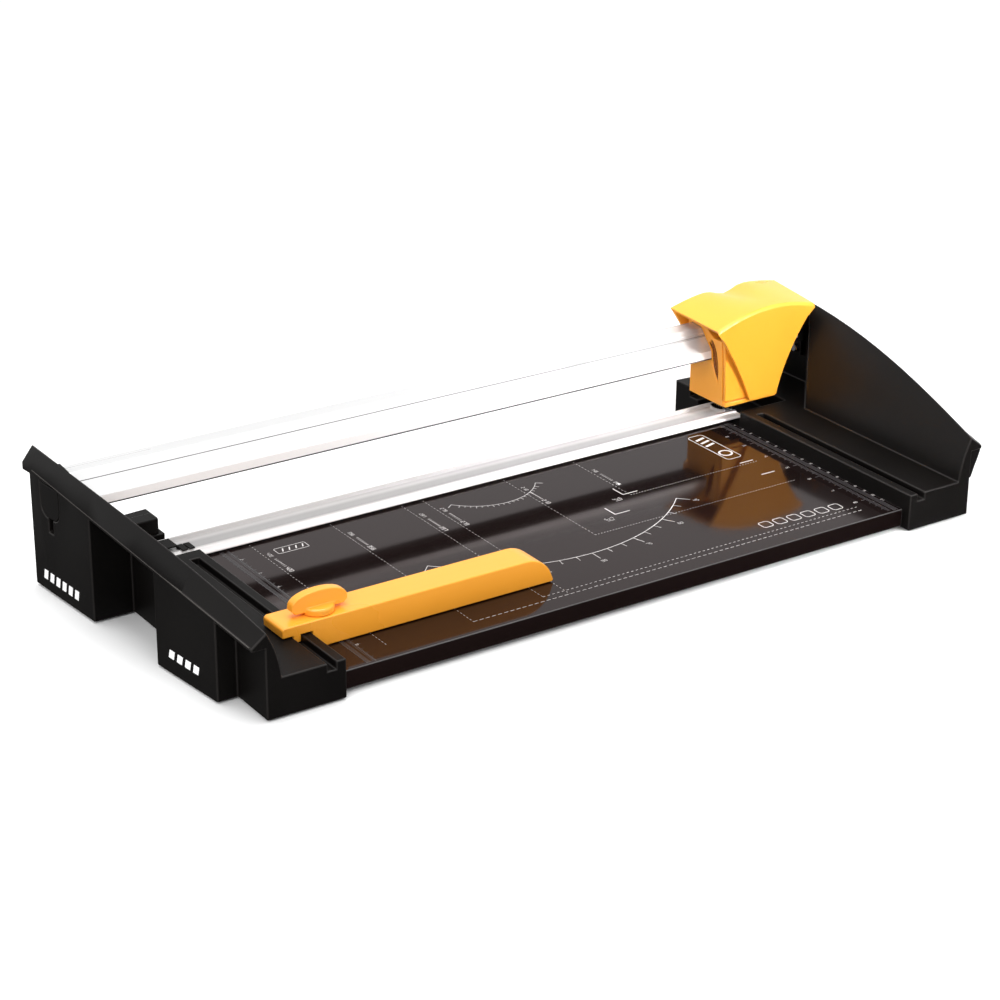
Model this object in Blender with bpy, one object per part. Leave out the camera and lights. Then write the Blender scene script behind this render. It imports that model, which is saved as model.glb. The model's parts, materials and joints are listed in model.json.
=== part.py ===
"""Rotary paper trimmer for A3 sheets: a steel cutting table between two moulded end casings,
an aluminium rail across the back, a cutting head that slides on it, a clear paper guard and
a sliding paper guide.

Frame: +X from the left casing to the right casing, +Y from the user to the rail, +Z up, origin
under the middle of the machine on the table top. Depths are given as offsets from the cutting
line, the line that the blade follows, because every part of the machine is laid out from it.
"""

import math

import bmesh
import bpy

# Overall layout, metres.
FRONT_Y = -0.137
CUT_Y = 0.1005
GAP = 0.0003

# Cutting table.
PLATE_HALF = 0.2313
PLATE_TOP = 0.016
PLATE_FRONT = -0.2305
PLATE_REAR = 0.008
PLATE_SHEET = 0.0015
LIP_BOTTOM = 0.0028
MAT_HALF = 0.2308
MAT_FRONT = -0.0045
MAT_REAR = 0.0065
MAT_FLOOR = 0.0126
MAT_TOP = 0.0158
MAT_GROOVE_HALF = 0.0006
MAT_GROOVE_DEPTH = 0.0012

# End casings, given for the right one; the left one is its mirror image.
CASING_INNER = 0.2316
CASING_BOTTOM = 0.0012
CASING_FLOOR = 0.0285
CASING_REAR = 0.0365
CASING_REAR_SLOPE = 0.07
WALL_FOOT = 0.277
WALL_LEAN = 0.0861
WALL_CURVE = 6.84
WALL_THICK = 0.003
RIM_TOP = 0.0974
RIM_FALL = 0.0359
RIM_PEAK = 0.028
RIM_SPAN = 0.262
OUTER_REAR = 0.3235
OUTER_BOW = (0.0175, 0.0085)
OUTER_SPAN = 0.2675
GROOVE_INNER = 0.2387
GROOVE_OUTER = 0.2450
GROOVE_FLOOR = 0.0230
GROOVE_END = -0.056
POCKET_FRONT = -0.044
POCKET_REAR = 0.008
POCKET_OUTER = 0.2755
POCKET_FLOOR = 0.0140
STEP_FLOOR = 0.0205
STEP_REAR = 0.018
RECESS_INNER = 0.288
REAR_POD = (-0.0564, 0.021)
FRONT_POD = (-0.1999, -0.1327)
BAY_OUTER = 0.314
BAY_START = (0.2795, -0.064)
BAY_SLOPE = 1.17
LEDGE_INNER = 0.212

# Guide rail section, as offsets from the cutting line and heights.
RAIL_HALF = 0.3105
RAIL_SECTION = (
    (-0.0198, 0.0653),
    (-0.0188, 0.0720),
    (-0.0058, 0.0870),
    (0.0058, 0.0880),
    (0.0058, 0.0653),
)
RAIL_WALL = 0.0018

# Cutting head at its rest place beside the right casing.
HOOD_X = 0.2546
CORE_X = 0.246
CARRIAGE_HALF = 0.025
CARRIAGE_FRONT = -0.036
CARRIAGE_BOTTOM = 0.0315
CARRIAGE_TOP = 0.0915
HOOD_FRONT = -0.042
HOOD_REAR = 0.016
HOOD_WALL = 0.0031
HOOD_BOTTOM = 0.0345
HOOD_REAR_BOTTOM = 0.058
HOOD_ROUND = 0.0032
HOOD_LEFT = (0.0118, 0.4015, 2.25)
HOOD_RIGHT = (0.0139, 0.2175, 4.47)
HOOD_LEFT_TOP = (0.0959, 0.0989)
HOOD_RIGHT_TOP = (0.1012, 0.1024)
HOOD_CROWN = (0.0087, 0.0065)
HOOD_DIP = 0.0058
HOOD_REACH = 0.0062
BLADE_RADIUS = 0.014
BLADE_THICK = 0.0004
BLADE_LOW = 0.0187
AXLE_RADIUS = 0.002

# Clear guard strip.
STRIP_HALF = 0.244
STRIP_FRONT = -0.0327
STRIP_REAR = -0.0025
STRIP_LIFT = 0.0173
STRIP_TOP = 0.0214

# Paper guide.
GUIDE_Y = -0.182
GUIDE_HALF_DEPTH = 0.0125
GUIDE_LEFT = -0.2525
GUIDE_TIP = -0.046
GUIDE_TOP = 0.036
GUIDE_BOTTOM = 0.0164
KNOB_X = -0.220
KNOB_RADIUS = 0.011

# Latch in the left casing's rear pod.
LATCH_SPAN = (-0.017, 0.007)
LATCH_HEIGHT = (0.0575, 0.0805)


def clear_scene():
    for obj in list(bpy.data.objects):
        bpy.data.objects.remove(obj, do_unlink=True)


def make_material(name, color, roughness, metallic=0.0, transmission=0.0):
    material = bpy.data.materials.new(name)
    material.use_nodes = True
    shader = material.node_tree.nodes["Principled BSDF"]
    shader.inputs["Base Color"].default_value = (*color, 1.0)
    shader.inputs["Roughness"].default_value = roughness
    shader.inputs["Metallic"].default_value = metallic
    shader.inputs["Transmission Weight"].default_value = transmission
    return material


def make_materials():
    return {
        "black": make_material("black_plastic", (0.022, 0.019, 0.018), 0.45),
        "plate": make_material("printed_black_steel", (0.020, 0.016, 0.016), 0.12),
        "silver": make_material("aluminium", (0.80, 0.79, 0.78), 0.30, metallic=1.0),
        "steel": make_material("steel", (0.55, 0.55, 0.56), 0.30, metallic=1.0),
        "yellow": make_material("yellow_plastic", (0.97, 0.52, 0.03), 0.38),
        "clear": make_material("clear_plastic", (0.90, 0.90, 0.88), 0.08, transmission=0.9),
        "grey": make_material("grey_plastic", (0.16, 0.16, 0.16), 0.55),
        "rubber": make_material("rubber", (0.03, 0.03, 0.03), 0.85),
    }


def at(offset):
    """World Y of a place given as an offset from the cutting line."""
    return CUT_Y + offset


def finish(mesh_bm, name, material, origin=(0.0, 0.0, 0.0), angle=35.0):
    """A named object from a bmesh in world coordinates, with its origin moved to origin."""
    bmesh.ops.recalc_face_normals(mesh_bm, faces=mesh_bm.faces)
    if mesh_bm.calc_volume(signed=True) < 0:
        bmesh.ops.reverse_faces(mesh_bm, faces=mesh_bm.faces)
    for vertex in mesh_bm.verts:
        vertex.co.x -= origin[0]
        vertex.co.y -= origin[1]
        vertex.co.z -= origin[2]
    mesh = bpy.data.meshes.new(name)
    mesh_bm.to_mesh(mesh)
    mesh_bm.free()
    mesh.shade_smooth()
    mesh.set_sharp_from_angle(angle=math.radians(angle))
    obj = bpy.data.objects.new(name, mesh)
    obj.location = origin
    bpy.context.scene.collection.objects.link(obj)
    if material is not None:
        mesh.materials.append(material)
    return obj


def make_helper(obj):
    obj.hide_render = True
    obj.display_type = "WIRE"
    return obj


def boolean(target, other, operation):
    modifier = target.modifiers.new(f"{operation.lower()}_{other.name}", "BOOLEAN")
    modifier.operation = operation
    modifier.solver = "EXACT"
    modifier.object = make_helper(other)


def cut(target, *cutters):
    for cutter in cutters:
        boolean(target, cutter, "DIFFERENCE")


def join(target, *others):
    for other in others:
        boolean(target, other, "UNION")


def loft_mesh(sections):
    """A closed mesh through sections of equal length, with flat ends."""
    mesh_bm = bmesh.new()
    rings = [[mesh_bm.verts.new(point) for point in section] for section in sections]
    count = len(rings[0])
    for near, far in zip(rings, rings[1:]):
        for i in range(count):
            j = (i + 1) % count
            mesh_bm.faces.new((near[i], near[j], far[j], far[i]))
    mesh_bm.faces.new(rings[0][::-1])
    mesh_bm.faces.new(rings[-1])
    return mesh_bm


def box(name, low, high, material=None, origin=(0.0, 0.0, 0.0)):
    corners = ((low[0], low[1]), (high[0], low[1]), (high[0], high[1]), (low[0], high[1]))
    sections = [[(x, y, z) for x, y in corners] for z in (low[2], high[2])]
    return finish(loft_mesh(sections), name, material, origin)


def prism(name, outline, axis, start, end, material=None, origin=(0.0, 0.0, 0.0)):
    """An outline pushed along an axis. It holds (y, z) for x, (x, z) for y and (x, y) for z."""
    place = {
        "x": lambda a, b, along: (along, a, b),
        "y": lambda a, b, along: (a, along, b),
        "z": lambda a, b, along: (a, b, along),
    }[axis]
    sections = [[place(a, b, along) for a, b in outline] for along in (start, end)]
    return finish(loft_mesh(sections), name, material, origin)


def circle(center, radius, steps):
    turns = [2 * math.pi * i / steps for i in range(steps)]
    return [(center[0] + radius * math.cos(t), center[1] + radius * math.sin(t)) for t in turns]


def arc(center, radius, start_deg, end_deg, steps):
    angles = [math.radians(start_deg + (end_deg - start_deg) * i / steps) for i in range(steps + 1)]
    return [(center[0] + radius * math.cos(t), center[1] + radius * math.sin(t)) for t in angles]


def cylinder(name, center, radius, axis, start, end, material=None, steps=24, origin=(0.0, 0.0, 0.0)):
    return prism(name, circle(center, radius, steps), axis, start, end, material, origin)


def stepped_pin(name, center, axis, stations, material, steps=20):
    """A turned pin from (distance, radius) stations along its axis."""
    order = {"x": (2, 0, 1), "y": (0, 2, 1), "z": (0, 1, 2)}[axis]
    sections = []
    for along, radius in stations:
        ring = circle(center, radius, steps)
        sections.append([tuple((a, b, along)[order[k]] for k in range(3)) for a, b in ring])
    return finish(loft_mesh(sections), name, material)


def coil_spring(name, center, bottom, top, radius, wire, turns, material, origin=(0.0, 0.0, 0.0)):
    """A compression spring standing on Z, as a wire swept along a helix."""
    steps_per_turn = 12
    wire_steps = 6
    total = turns * steps_per_turn
    rise = top - bottom - 2 * wire
    sections = []
    for i in range(total + 1):
        turn = 2 * math.pi * i / steps_per_turn
        outward = (math.cos(turn), math.sin(turn))
        height = bottom + wire + rise * i / total
        section = []
        for k in range(wire_steps):
            phase = 2 * math.pi * k / wire_steps
            reach = radius + wire * math.cos(phase)
            point = (center[0] + outward[0] * reach, center[1] + outward[1] * reach)
            section.append((*point, height + wire * math.sin(phase)))
        sections.append(section)
    return finish(loft_mesh(sections), name, material, origin, angle=70.0)


# ---------------------------------------------------------------- cutting table


def make_table(materials):
    front, rear = at(PLATE_FRONT), at(PLATE_REAR)
    sheet = PLATE_SHEET
    channel_front, channel_rear = at(MAT_FRONT), at(MAT_REAR)
    floor = MAT_FLOOR
    outline = [
        (front, LIP_BOTTOM),
        (front, PLATE_TOP),
        (channel_front, PLATE_TOP),
        (channel_front, floor),
        (channel_rear, floor),
        (channel_rear, PLATE_TOP - 0.0005),
        (rear, PLATE_TOP - 0.0005),
        (rear, LIP_BOTTOM),
        (channel_rear, LIP_BOTTOM),
        (channel_rear, floor - sheet),
        (channel_front - sheet, floor - sheet),
        (channel_front - sheet, PLATE_TOP - sheet),
        (front + sheet, PLATE_TOP - sheet),
        (front + sheet, LIP_BOTTOM),
    ]
    prism("base_plate", outline, "x", -PLATE_HALF, PLATE_HALF, materials["plate"])

    low, high = floor + GAP, MAT_TOP
    groove = MAT_GROOVE_HALF
    mat_outline = [
        (channel_front + GAP, low),
        (channel_rear - GAP, low),
        (channel_rear - GAP, high),
        (at(groove), high),
        (at(groove), high - MAT_GROOVE_DEPTH),
        (at(-groove), high - MAT_GROOVE_DEPTH),
        (at(-groove), high),
        (channel_front + GAP, high),
    ]
    prism("cutting_mat", mat_outline, "x", -MAT_HALF, MAT_HALF, materials["grey"])

    stiffener("front_stiffener", at(PLATE_FRONT) + 0.003, 0.014, materials["steel"])
    stiffener("rear_stiffener", at(MAT_FRONT) - 0.020, 0.016, materials["steel"])


def stiffener(name, start, width, material):
    """A steel channel, open downwards, that stops the table from sagging."""
    sheet = 0.0012
    top = PLATE_TOP - PLATE_SHEET - GAP
    bottom = 0.0035
    end = start + width
    outline = [
        (start, bottom),
        (start, top),
        (end, top),
        (end, bottom),
        (end - sheet, bottom),
        (end - sheet, top - sheet),
        (start + sheet, top - sheet),
        (start + sheet, bottom),
    ]
    half = LEDGE_INNER - 0.003
    prism(name, outline, "x", -half, half, material)


# ---------------------------------------------------------------- end casings


def wall_x(z):
    """Inner face of the flared end wall at a height."""
    rise = z - CASING_FLOOR
    return WALL_FOOT + WALL_LEAN * rise + WALL_CURVE * rise * rise


def rim_height(y):
    """Height of the end wall's inner top edge: a long arc that falls towards the user."""
    return RIM_TOP - RIM_FALL * ((at(RIM_PEAK) - y) / RIM_SPAN) ** 2


def outer_x(y):
    """Bowed outer side of the casing in plan."""
    t = (at(0.030) - y) / OUTER_SPAN
    return OUTER_REAR - OUTER_BOW[0] * t - OUTER_BOW[1] * t * t


def rim_drop(y):
    """How far the sloping rim band falls from its inner edge to its outer edge."""
    t = (y - FRONT_Y) / OUTER_SPAN
    return 0.008 + 0.031 * t - 0.028 * t * t


def rear_y(x):
    return at(CASING_REAR) - CASING_REAR_SLOPE * (x - CASING_INNER)


def casing_section(side, y, last):
    wall_steps = 8
    top = rim_height(y)
    points = [(CASING_INNER, CASING_BOTTOM), (CASING_INNER, CASING_FLOOR), (WALL_FOOT, CASING_FLOOR)]
    for i in range(1, wall_steps + 1):
        z = CASING_FLOOR + (top - CASING_FLOOR) * i / wall_steps
        points.append((wall_x(z), z))
    points.append((outer_x(y), top - rim_drop(y)))
    points.append((outer_x(y), CASING_BOTTOM))
    return [(side * x, rear_y(x) if last else y, z) for x, z in points]


def outer_pocket(name, side, start, end, beyond, ceiling=None):
    """Cutter for the space between the flared wall and the outer side, open below.

    beyond is how far it reaches past the outer side; a negative value leaves a skin."""
    stations = 6
    sections = []
    for i in range(stations + 1):
        y = start + (end - start) * i / stations
        rim_z = rim_height(y) - rim_drop(y)
        limit = ceiling if ceiling is not None else rim_z - 0.0025
        reach = outer_x(y) + beyond
        inner = []
        for k in range(5):
            z = 0.045 + (limit - 0.045) * k / 4 if ceiling is None else CASING_BOTTOM + 0.01 * k / 4
            inner.append((max(RECESS_INNER, wall_x(max(z, CASING_FLOOR)) + WALL_THICK), z))
        if ceiling is not None:
            inner.append((RECESS_INNER, ceiling))
        points = [(RECESS_INNER, -0.005), *inner, (reach, limit), (reach, -0.005)]
        sections.append([(side * x, y, z) for x, z in points])
    return finish(loft_mesh(sections), name, None)


def mirrored_box(name, side, low, high):
    xs = sorted((side * low[0], side * high[0]))
    return box(name, (xs[0], low[1], low[2]), (xs[1], high[1], high[2]))


def make_casing(side, label, materials):
    lead = 0.0005
    stations = [FRONT_Y + (at(0.018) - FRONT_Y) * i / 14 for i in range(15)]
    sections = [casing_section(side, y, False) for y in stations]
    sections.append(casing_section(side, at(CASING_REAR), True))
    casing = finish(loft_mesh(sections), f"{label}_casing", materials["black"])
    name = f"{label}_cutter_"
    below = -0.005

    ledge = mirrored_box(
        name + "ledge",
        side,
        (LEDGE_INNER, at(PLATE_FRONT) + 0.0025, CASING_BOTTOM),
        (CASING_INNER + 0.002, at(MAT_FRONT) - 0.0235, PLATE_TOP - PLATE_SHEET - GAP),
    )
    join(casing, ledge)
    groove = mirrored_box(
        name + "groove",
        side,
        (GROOVE_INNER, FRONT_Y - 0.01, GROOVE_FLOOR),
        (GROOVE_OUTER, at(GROOVE_END), CASING_FLOOR + 0.01),
    )
    pocket = mirrored_box(
        name + "pocket",
        side,
        (CASING_INNER - 0.001, at(POCKET_FRONT), POCKET_FLOOR),
        (POCKET_OUTER, at(POCKET_REAR), CASING_FLOOR + 0.01),
    )
    step = mirrored_box(
        name + "step",
        side,
        (CASING_INNER - 0.001, at(POCKET_REAR) - lead, STEP_FLOOR),
        (POCKET_OUTER, at(STEP_REAR), CASING_FLOOR + 0.01),
    )
    far = BAY_OUTER
    bay_plan = [
        (WALL_FOOT - 0.010, at(BAY_START[1]) - BAY_SLOPE * (BAY_START[0] - WALL_FOOT + 0.010)),
        (far, at(BAY_START[1]) + BAY_SLOPE * (far - BAY_START[0])),
        (far, rear_y(far) - 0.0035),
        (WALL_FOOT - 0.010, rear_y(WALL_FOOT) - 0.0035),
    ]
    bay_outline = [(side * x, y) for x, y in bay_plan]
    bay = prism(name + "bay", bay_outline, "z", CASING_FLOOR, RIM_TOP + 0.02)
    rear_undercut = mirrored_box(
        name + "rear_undercut",
        side,
        (BAY_OUTER - 0.018, at(REAR_POD[1]), below),
        (OUTER_REAR + 0.01, at(CASING_REAR) + 0.01, RIM_TOP - 0.016),
    )
    middle_recess = outer_pocket(name + "middle_recess", side, at(FRONT_POD[1]), at(REAR_POD[0]), 0.01)
    front_recess = outer_pocket(name + "front_recess", side, FRONT_Y - 0.002, at(FRONT_POD[0]), 0.01)
    skin = 0.003
    front_hollow = outer_pocket(
        name + "front_hollow", side, at(FRONT_POD[0]) + skin, at(FRONT_POD[1]) - skin, -skin
    )
    rear_hollow = outer_pocket(
        name + "rear_hollow", side, at(REAR_POD[0]) + skin, at(REAR_POD[1]) - skin, -skin,
        ceiling=CASING_FLOOR - skin,
    )
    tray_outer = mirrored_box(
        name + "tray_outer",
        side,
        (GROOVE_OUTER + 0.005, FRONT_Y + skin, below),
        (RECESS_INNER - 0.0035, at(POCKET_FRONT) - skin, CASING_FLOOR - skin),
    )
    tray_inner = mirrored_box(
        name + "tray_inner",
        side,
        (CASING_INNER + skin, FRONT_Y + skin, below),
        (GROOVE_OUTER + 0.006, at(POCKET_FRONT) - skin, GROOVE_FLOOR - skin),
    )
    tray_rear = mirrored_box(
        name + "tray_rear",
        side,
        (CASING_INNER + skin, at(POCKET_FRONT), below),
        (RECESS_INNER - 0.0035, at(STEP_REAR) + 0.010, POCKET_FLOOR - skin),
    )
    cut(casing, groove, pocket, step, bay, rear_undercut, middle_recess, front_recess)
    cut(casing, front_hollow, rear_hollow, tray_outer, tray_inner, tray_rear)
    return casing


# ---------------------------------------------------------------- feet and table screws

FOOT_RADIUS = 0.0070
FOOT_HEIGHT = 0.0030
FOOT_X = 0.264
FOOT_YS = {"front": FRONT_Y + 0.020, "rear": at(-0.025)}
SCREW_X = 0.2215
SCREW_YS = {"front": FRONT_Y + 0.030, "rear": at(-0.060)}
SCREW_HEAD = 0.0034
SCREW_SHANK = 0.0015
COUNTERBORE_TOP = 0.0080


def add_foot(casing, side, label, place, materials):
    x, y = side * FOOT_X, FOOT_YS[place]
    name = f"{label}_{place}_foot"
    top = CASING_FLOOR - 0.002 if place == "front" else POCKET_FLOOR - 0.002
    join(casing, cylinder(name + "_boss", (x, y), FOOT_RADIUS + 0.0028, "z", CASING_BOTTOM, top))
    recess_top = FOOT_HEIGHT + GAP
    cut(casing, cylinder(name + "_recess", (x, y), FOOT_RADIUS + GAP, "z", -0.005, recess_top))
    stations = ((0.0, FOOT_RADIUS - 0.0006), (0.0006, FOOT_RADIUS), (FOOT_HEIGHT, FOOT_RADIUS))
    stepped_pin(name, (x, y), "z", stations, materials["rubber"], steps=24)


def add_table_screw(casing, side, label, place, materials):
    x, y = side * SCREW_X, SCREW_YS[place]
    name = f"{label}_{place}_table_screw"
    cut(casing, cylinder(name + "_bore", (x, y), SCREW_HEAD + 0.0006, "z", -0.005, COUNTERBORE_TOP, steps=16))
    cut(casing, cylinder(name + "_hole", (x, y), SCREW_SHANK + GAP, "z", -0.005, 0.020, steps=16))
    head_top = COUNTERBORE_TOP - GAP
    stations = (
        (head_top - 0.0024, SCREW_HEAD - 0.0008),
        (head_top - 0.0018, SCREW_HEAD),
        (head_top, SCREW_HEAD),
        (head_top, SCREW_SHANK),
        (PLATE_TOP - PLATE_SHEET - 2 * GAP, SCREW_SHANK),
    )
    stepped_pin(name, (x, y), "z", stations, materials["steel"], steps=16)


# ---------------------------------------------------------------- guide rail


def offset_outline(outline, distance):
    """A convex outline in (y, z), grown outwards by a distance."""
    count = len(outline)
    center = [sum(p[k] for p in outline) / count for k in (0, 1)]
    lines = []
    for i in range(count):
        a, b = outline[i], outline[(i + 1) % count]
        length = math.dist(a, b)
        normal = ((b[1] - a[1]) / length, -(b[0] - a[0]) / length)
        if normal[0] * (a[0] - center[0]) + normal[1] * (a[1] - center[1]) < 0:
            normal = (-normal[0], -normal[1])
        lines.append((normal, normal[0] * a[0] + normal[1] * a[1] + distance))
    grown = []
    for i in range(count):
        (n1, c1), (n2, c2) = lines[i - 1], lines[i]
        det = n1[0] * n2[1] - n1[1] * n2[0]
        grown.append(((c1 * n2[1] - c2 * n1[1]) / det, (n1[0] * c2 - n2[0] * c1) / det))
    return grown


def rail_outline(grow=0.0):
    return offset_outline([(at(offset), z) for offset, z in RAIL_SECTION], grow)


def sleeve(name, inner_grow, outer_grow, start, end, material):
    """A ring that follows the rail's section."""
    ring = prism(name, rail_outline(outer_grow), "x", start, end, material)
    cut(ring, prism(name + "_hole", rail_outline(inner_grow), "x", start - 0.005, end + 0.005))
    return ring


def make_rail(materials):
    sleeve("guide_rail", -RAIL_WALL, 0.0, -RAIL_HALF, RAIL_HALF, materials["silver"])


SOCKET_PLUG = 0.2980
SOCKET_FLANGE = 0.3108
SOCKET_SCREWS = {"front": (-0.0130, 0.0555), "rear": (0.0040, 0.0555)}
BUMPER_LENGTH = 0.0040
BUMPER_THICK = 0.0015


def make_rail_socket(casing, side, label, materials):
    """A moulded plug, screwed inside the casing's bay, that carries one end of the hollow rail."""
    end = BAY_OUTER - GAP
    plug_span = sorted((side * SOCKET_PLUG, side * end))
    socket = prism(f"{label}_rail_socket", rail_outline(-RAIL_WALL - GAP), "x", *plug_span, materials["black"])
    plate_span = sorted((side * SOCKET_FLANGE, side * end))
    plate = prism(f"{label}_socket_plate", rail_outline(0.0), "x", *plate_span)
    flange = mirrored_box(
        f"{label}_socket_flange", side, (SOCKET_FLANGE, at(-0.0190), 0.0500), (end, at(0.0058), 0.0700)
    )
    join(socket, plate, flange)
    for place, (offset, z) in SOCKET_SCREWS.items():
        name = f"{label}_{place}_rail_screw"
        center = (at(offset), z)
        tip = BAY_OUTER + 0.0022
        span = sorted((side * (SOCKET_FLANGE - 0.005), side * (tip + GAP)))
        hole = cylinder(name + "_hole", center, SCREW_SHANK + GAP, "x", *span, steps=16)
        cut(socket, hole)
        cut(casing, hole)
        head = SOCKET_FLANGE - GAP
        stations = (
            (side * (head - 0.0024), SCREW_HEAD - 0.0008),
            (side * (head - 0.0018), SCREW_HEAD),
            (side * head, SCREW_HEAD),
            (side * head, SCREW_SHANK),
            (side * tip, SCREW_SHANK),
        )
        stepped_pin(name, center, "x", stations, materials["steel"], steps=16)
    bumper_span = sorted((side * (SOCKET_FLANGE - GAP - BUMPER_LENGTH), side * (SOCKET_FLANGE - GAP)))
    sleeve(f"{label}_end_bumper", GAP, BUMPER_THICK, *bumper_span, materials["rubber"])


# ---------------------------------------------------------------- guard strip


def make_guard_strip(materials):
    """A clear extrusion that holds the paper down in front of the cutting line."""
    base = 0.0018
    outline = [
        (STRIP_FRONT, STRIP_LIFT),
        (STRIP_REAR, STRIP_LIFT),
        (STRIP_REAR, STRIP_TOP),
        (STRIP_REAR - 0.0016, STRIP_TOP),
        (STRIP_REAR - 0.0020, STRIP_LIFT + base),
        (-0.0218, STRIP_LIFT + base),
        (-0.0222, STRIP_TOP - 0.0010),
        (-0.0240, STRIP_TOP - 0.0010),
        (-0.0256, STRIP_LIFT + base),
        (STRIP_FRONT + 0.0010, STRIP_LIFT + base),
        (STRIP_FRONT, STRIP_LIFT + 0.0008),
    ]
    world = [(at(offset), z) for offset, z in outline]
    prism("guard_strip", world, "x", -STRIP_HALF, STRIP_HALF, materials["clear"])


CLIP_SPAN = (-0.0200, -0.0060)
CLIP_INNER = 0.2360
CLIP_OUTER = 0.2463
CLIP_PEG = 0.0016
WELL_RADIUS = 0.0048
WELL_FLOOR = 0.0050
CLIP_BOTTOM = 0.0157
CLIP_CENTER = (0.2412, -0.0130)


def make_strip_mount(casing, side, label, materials):
    """The clip on one end of the guard strip and the spring that lifts it."""
    outline = [
        (CLIP_INNER, CLIP_BOTTOM),
        (CLIP_OUTER, CLIP_BOTTOM),
        (CLIP_OUTER, 0.0229),
        (CLIP_INNER, 0.0229),
        (CLIP_INNER, STRIP_TOP + GAP),
        (STRIP_HALF + GAP, STRIP_TOP + GAP),
        (STRIP_HALF + GAP, STRIP_LIFT - GAP),
        (CLIP_INNER, STRIP_LIFT - GAP),
    ]
    mirrored = [(side * x, z) for x, z in outline]
    clip = prism(f"{label}_strip_clip", mirrored, "y", at(CLIP_SPAN[0]), at(CLIP_SPAN[1]))
    clip.data.materials.append(materials["black"])
    center = (side * CLIP_CENTER[0], at(CLIP_CENTER[1]))
    join(clip, cylinder(f"{label}_clip_peg", center, CLIP_PEG, "z", 0.0090, CLIP_BOTTOM + 0.0005, steps=16))

    boss = cylinder(f"{label}_well_boss", center, WELL_RADIUS + 0.002, "z", CASING_BOTTOM, POCKET_FLOOR - 0.001)
    join(casing, boss)
    cut(casing, cylinder(f"{label}_well", center, WELL_RADIUS, "z", WELL_FLOOR, POCKET_FLOOR + 0.002))
    coil_spring(
        f"{label}_strip_spring",
        center,
        WELL_FLOOR + GAP,
        CLIP_BOTTOM - GAP,
        radius=0.0030,
        wire=0.0004,
        turns=5,
        material=materials["steel"],
        origin=(*center, WELL_FLOOR + GAP),
    )


# ---------------------------------------------------------------- cutting head

CAVITY_HALF = 0.0225
CAVITY_FRONT = -0.033
CAVITY_REAR = 0.0032
CAVITY_TOP = 0.0625
CAVITY_LEDGE = 0.0345
CARTRIDGE_HALF = 0.0115
CARTRIDGE_BOTTOM = 0.0272
SHOULDER = (0.0560, 0.0600)
SHOULDER_HALF = 0.0215
POST_TOP = 0.1000
PRESS_SPRING_OFFSET = (0.0170, -0.0230)
BLADE_Z = BLADE_LOW + BLADE_RADIUS


def make_carriage(materials):
    """The yellow slider that runs on the rail and holds the blade cartridge upright."""
    low, high = CORE_X - CARRIAGE_HALF, CORE_X + CARRIAGE_HALF
    outline = [
        (at(CARRIAGE_FRONT), CARRIAGE_BOTTOM),
        (at(0.0058), CARRIAGE_BOTTOM),
        (at(0.0058), 0.0610),
        (at(0.0100), 0.0625),
        (at(0.0100), CARRIAGE_TOP),
        (at(-0.0080), CARRIAGE_TOP),
        (at(-0.0220), CARRIAGE_TOP - 0.0085),
        (at(CARRIAGE_FRONT + 0.004), CARRIAGE_TOP - 0.0085),
        (at(CARRIAGE_FRONT + 0.002), 0.0600),
        (at(CARRIAGE_FRONT + 0.0010), 0.0364),
        (at(CARRIAGE_FRONT), 0.0354),
    ]
    origin = (CORE_X, CUT_Y, 0.076)
    carriage = prism("carriage_body", outline, "x", low, high, materials["yellow"], origin)
    channel = prism("carriage_rail_hole", rail_outline(0.0018), "x", low - 0.01, high + 0.01)
    cavity = box(
        "carriage_cavity",
        (CORE_X - CAVITY_HALF, at(CAVITY_FRONT), CAVITY_LEDGE),
        (CORE_X + CAVITY_HALF, at(CAVITY_REAR), CAVITY_TOP),
    )
    mouth_half = CARTRIDGE_HALF + 0.001
    mouth = box(
        "carriage_mouth",
        (CORE_X - mouth_half, at(CAVITY_FRONT), CARRIAGE_BOTTOM - 0.01),
        (CORE_X + mouth_half, at(CAVITY_REAR), CAVITY_LEDGE + 0.001),
    )
    chimney = box(
        "carriage_chimney",
        (CORE_X - mouth_half, at(-0.0315), CAVITY_TOP - 0.001),
        (CORE_X + mouth_half, at(-0.0235), CARRIAGE_TOP + 0.01),
    )
    blade_room = box(
        "carriage_blade_room",
        (CORE_X - BLADE_RADIUS - 0.0015, at(-0.0030), CARRIAGE_BOTTOM - 0.01),
        (CORE_X + BLADE_RADIUS + 0.0015, at(0.0020), CAVITY_LEDGE + 0.001),
    )
    slots = [
        prism(f"carriage_{label}_grip", grip_outline(), "x", *sorted((face, face + inward)))
        for label, face, inward in (("left", low, 0.0014), ("right", high, -0.0014))
    ]
    cut(carriage, channel, cavity, mouth, chimney, blade_room, *slots)
    length = 0.012
    for label, start in (("left", low + 0.001), ("right", high - 0.001 - length)):
        sleeve(f"{label}_glide_bush", GAP, 0.0014, start, start + length, materials["black"])


def grip_outline():
    """Lens-shaped finger slot in the carriage's end face, leaning forward towards its foot."""
    top, bottom = (at(-0.0190), 0.0810), (at(-0.0288), 0.0490)
    steps = 8
    outline = []
    for sign in (1, -1):
        for i in range(steps):
            t = i / steps if sign > 0 else 1 - i / steps
            swell = 0.0020 * math.sin(math.pi * t) ** 0.8
            y = top[0] + (bottom[0] - top[0]) * t + sign * swell
            outline.append((y, top[1] + (bottom[1] - top[1]) * t + sign * 0.3 * swell))
    return outline


def hood_half_width(z, flare):
    """Reach of one side of the hood at a height: waisted at the foot and flared at the top."""
    rise = z - HOOD_BOTTOM
    return flare[0] + flare[1] * rise + flare[2] * rise * rise


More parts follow.
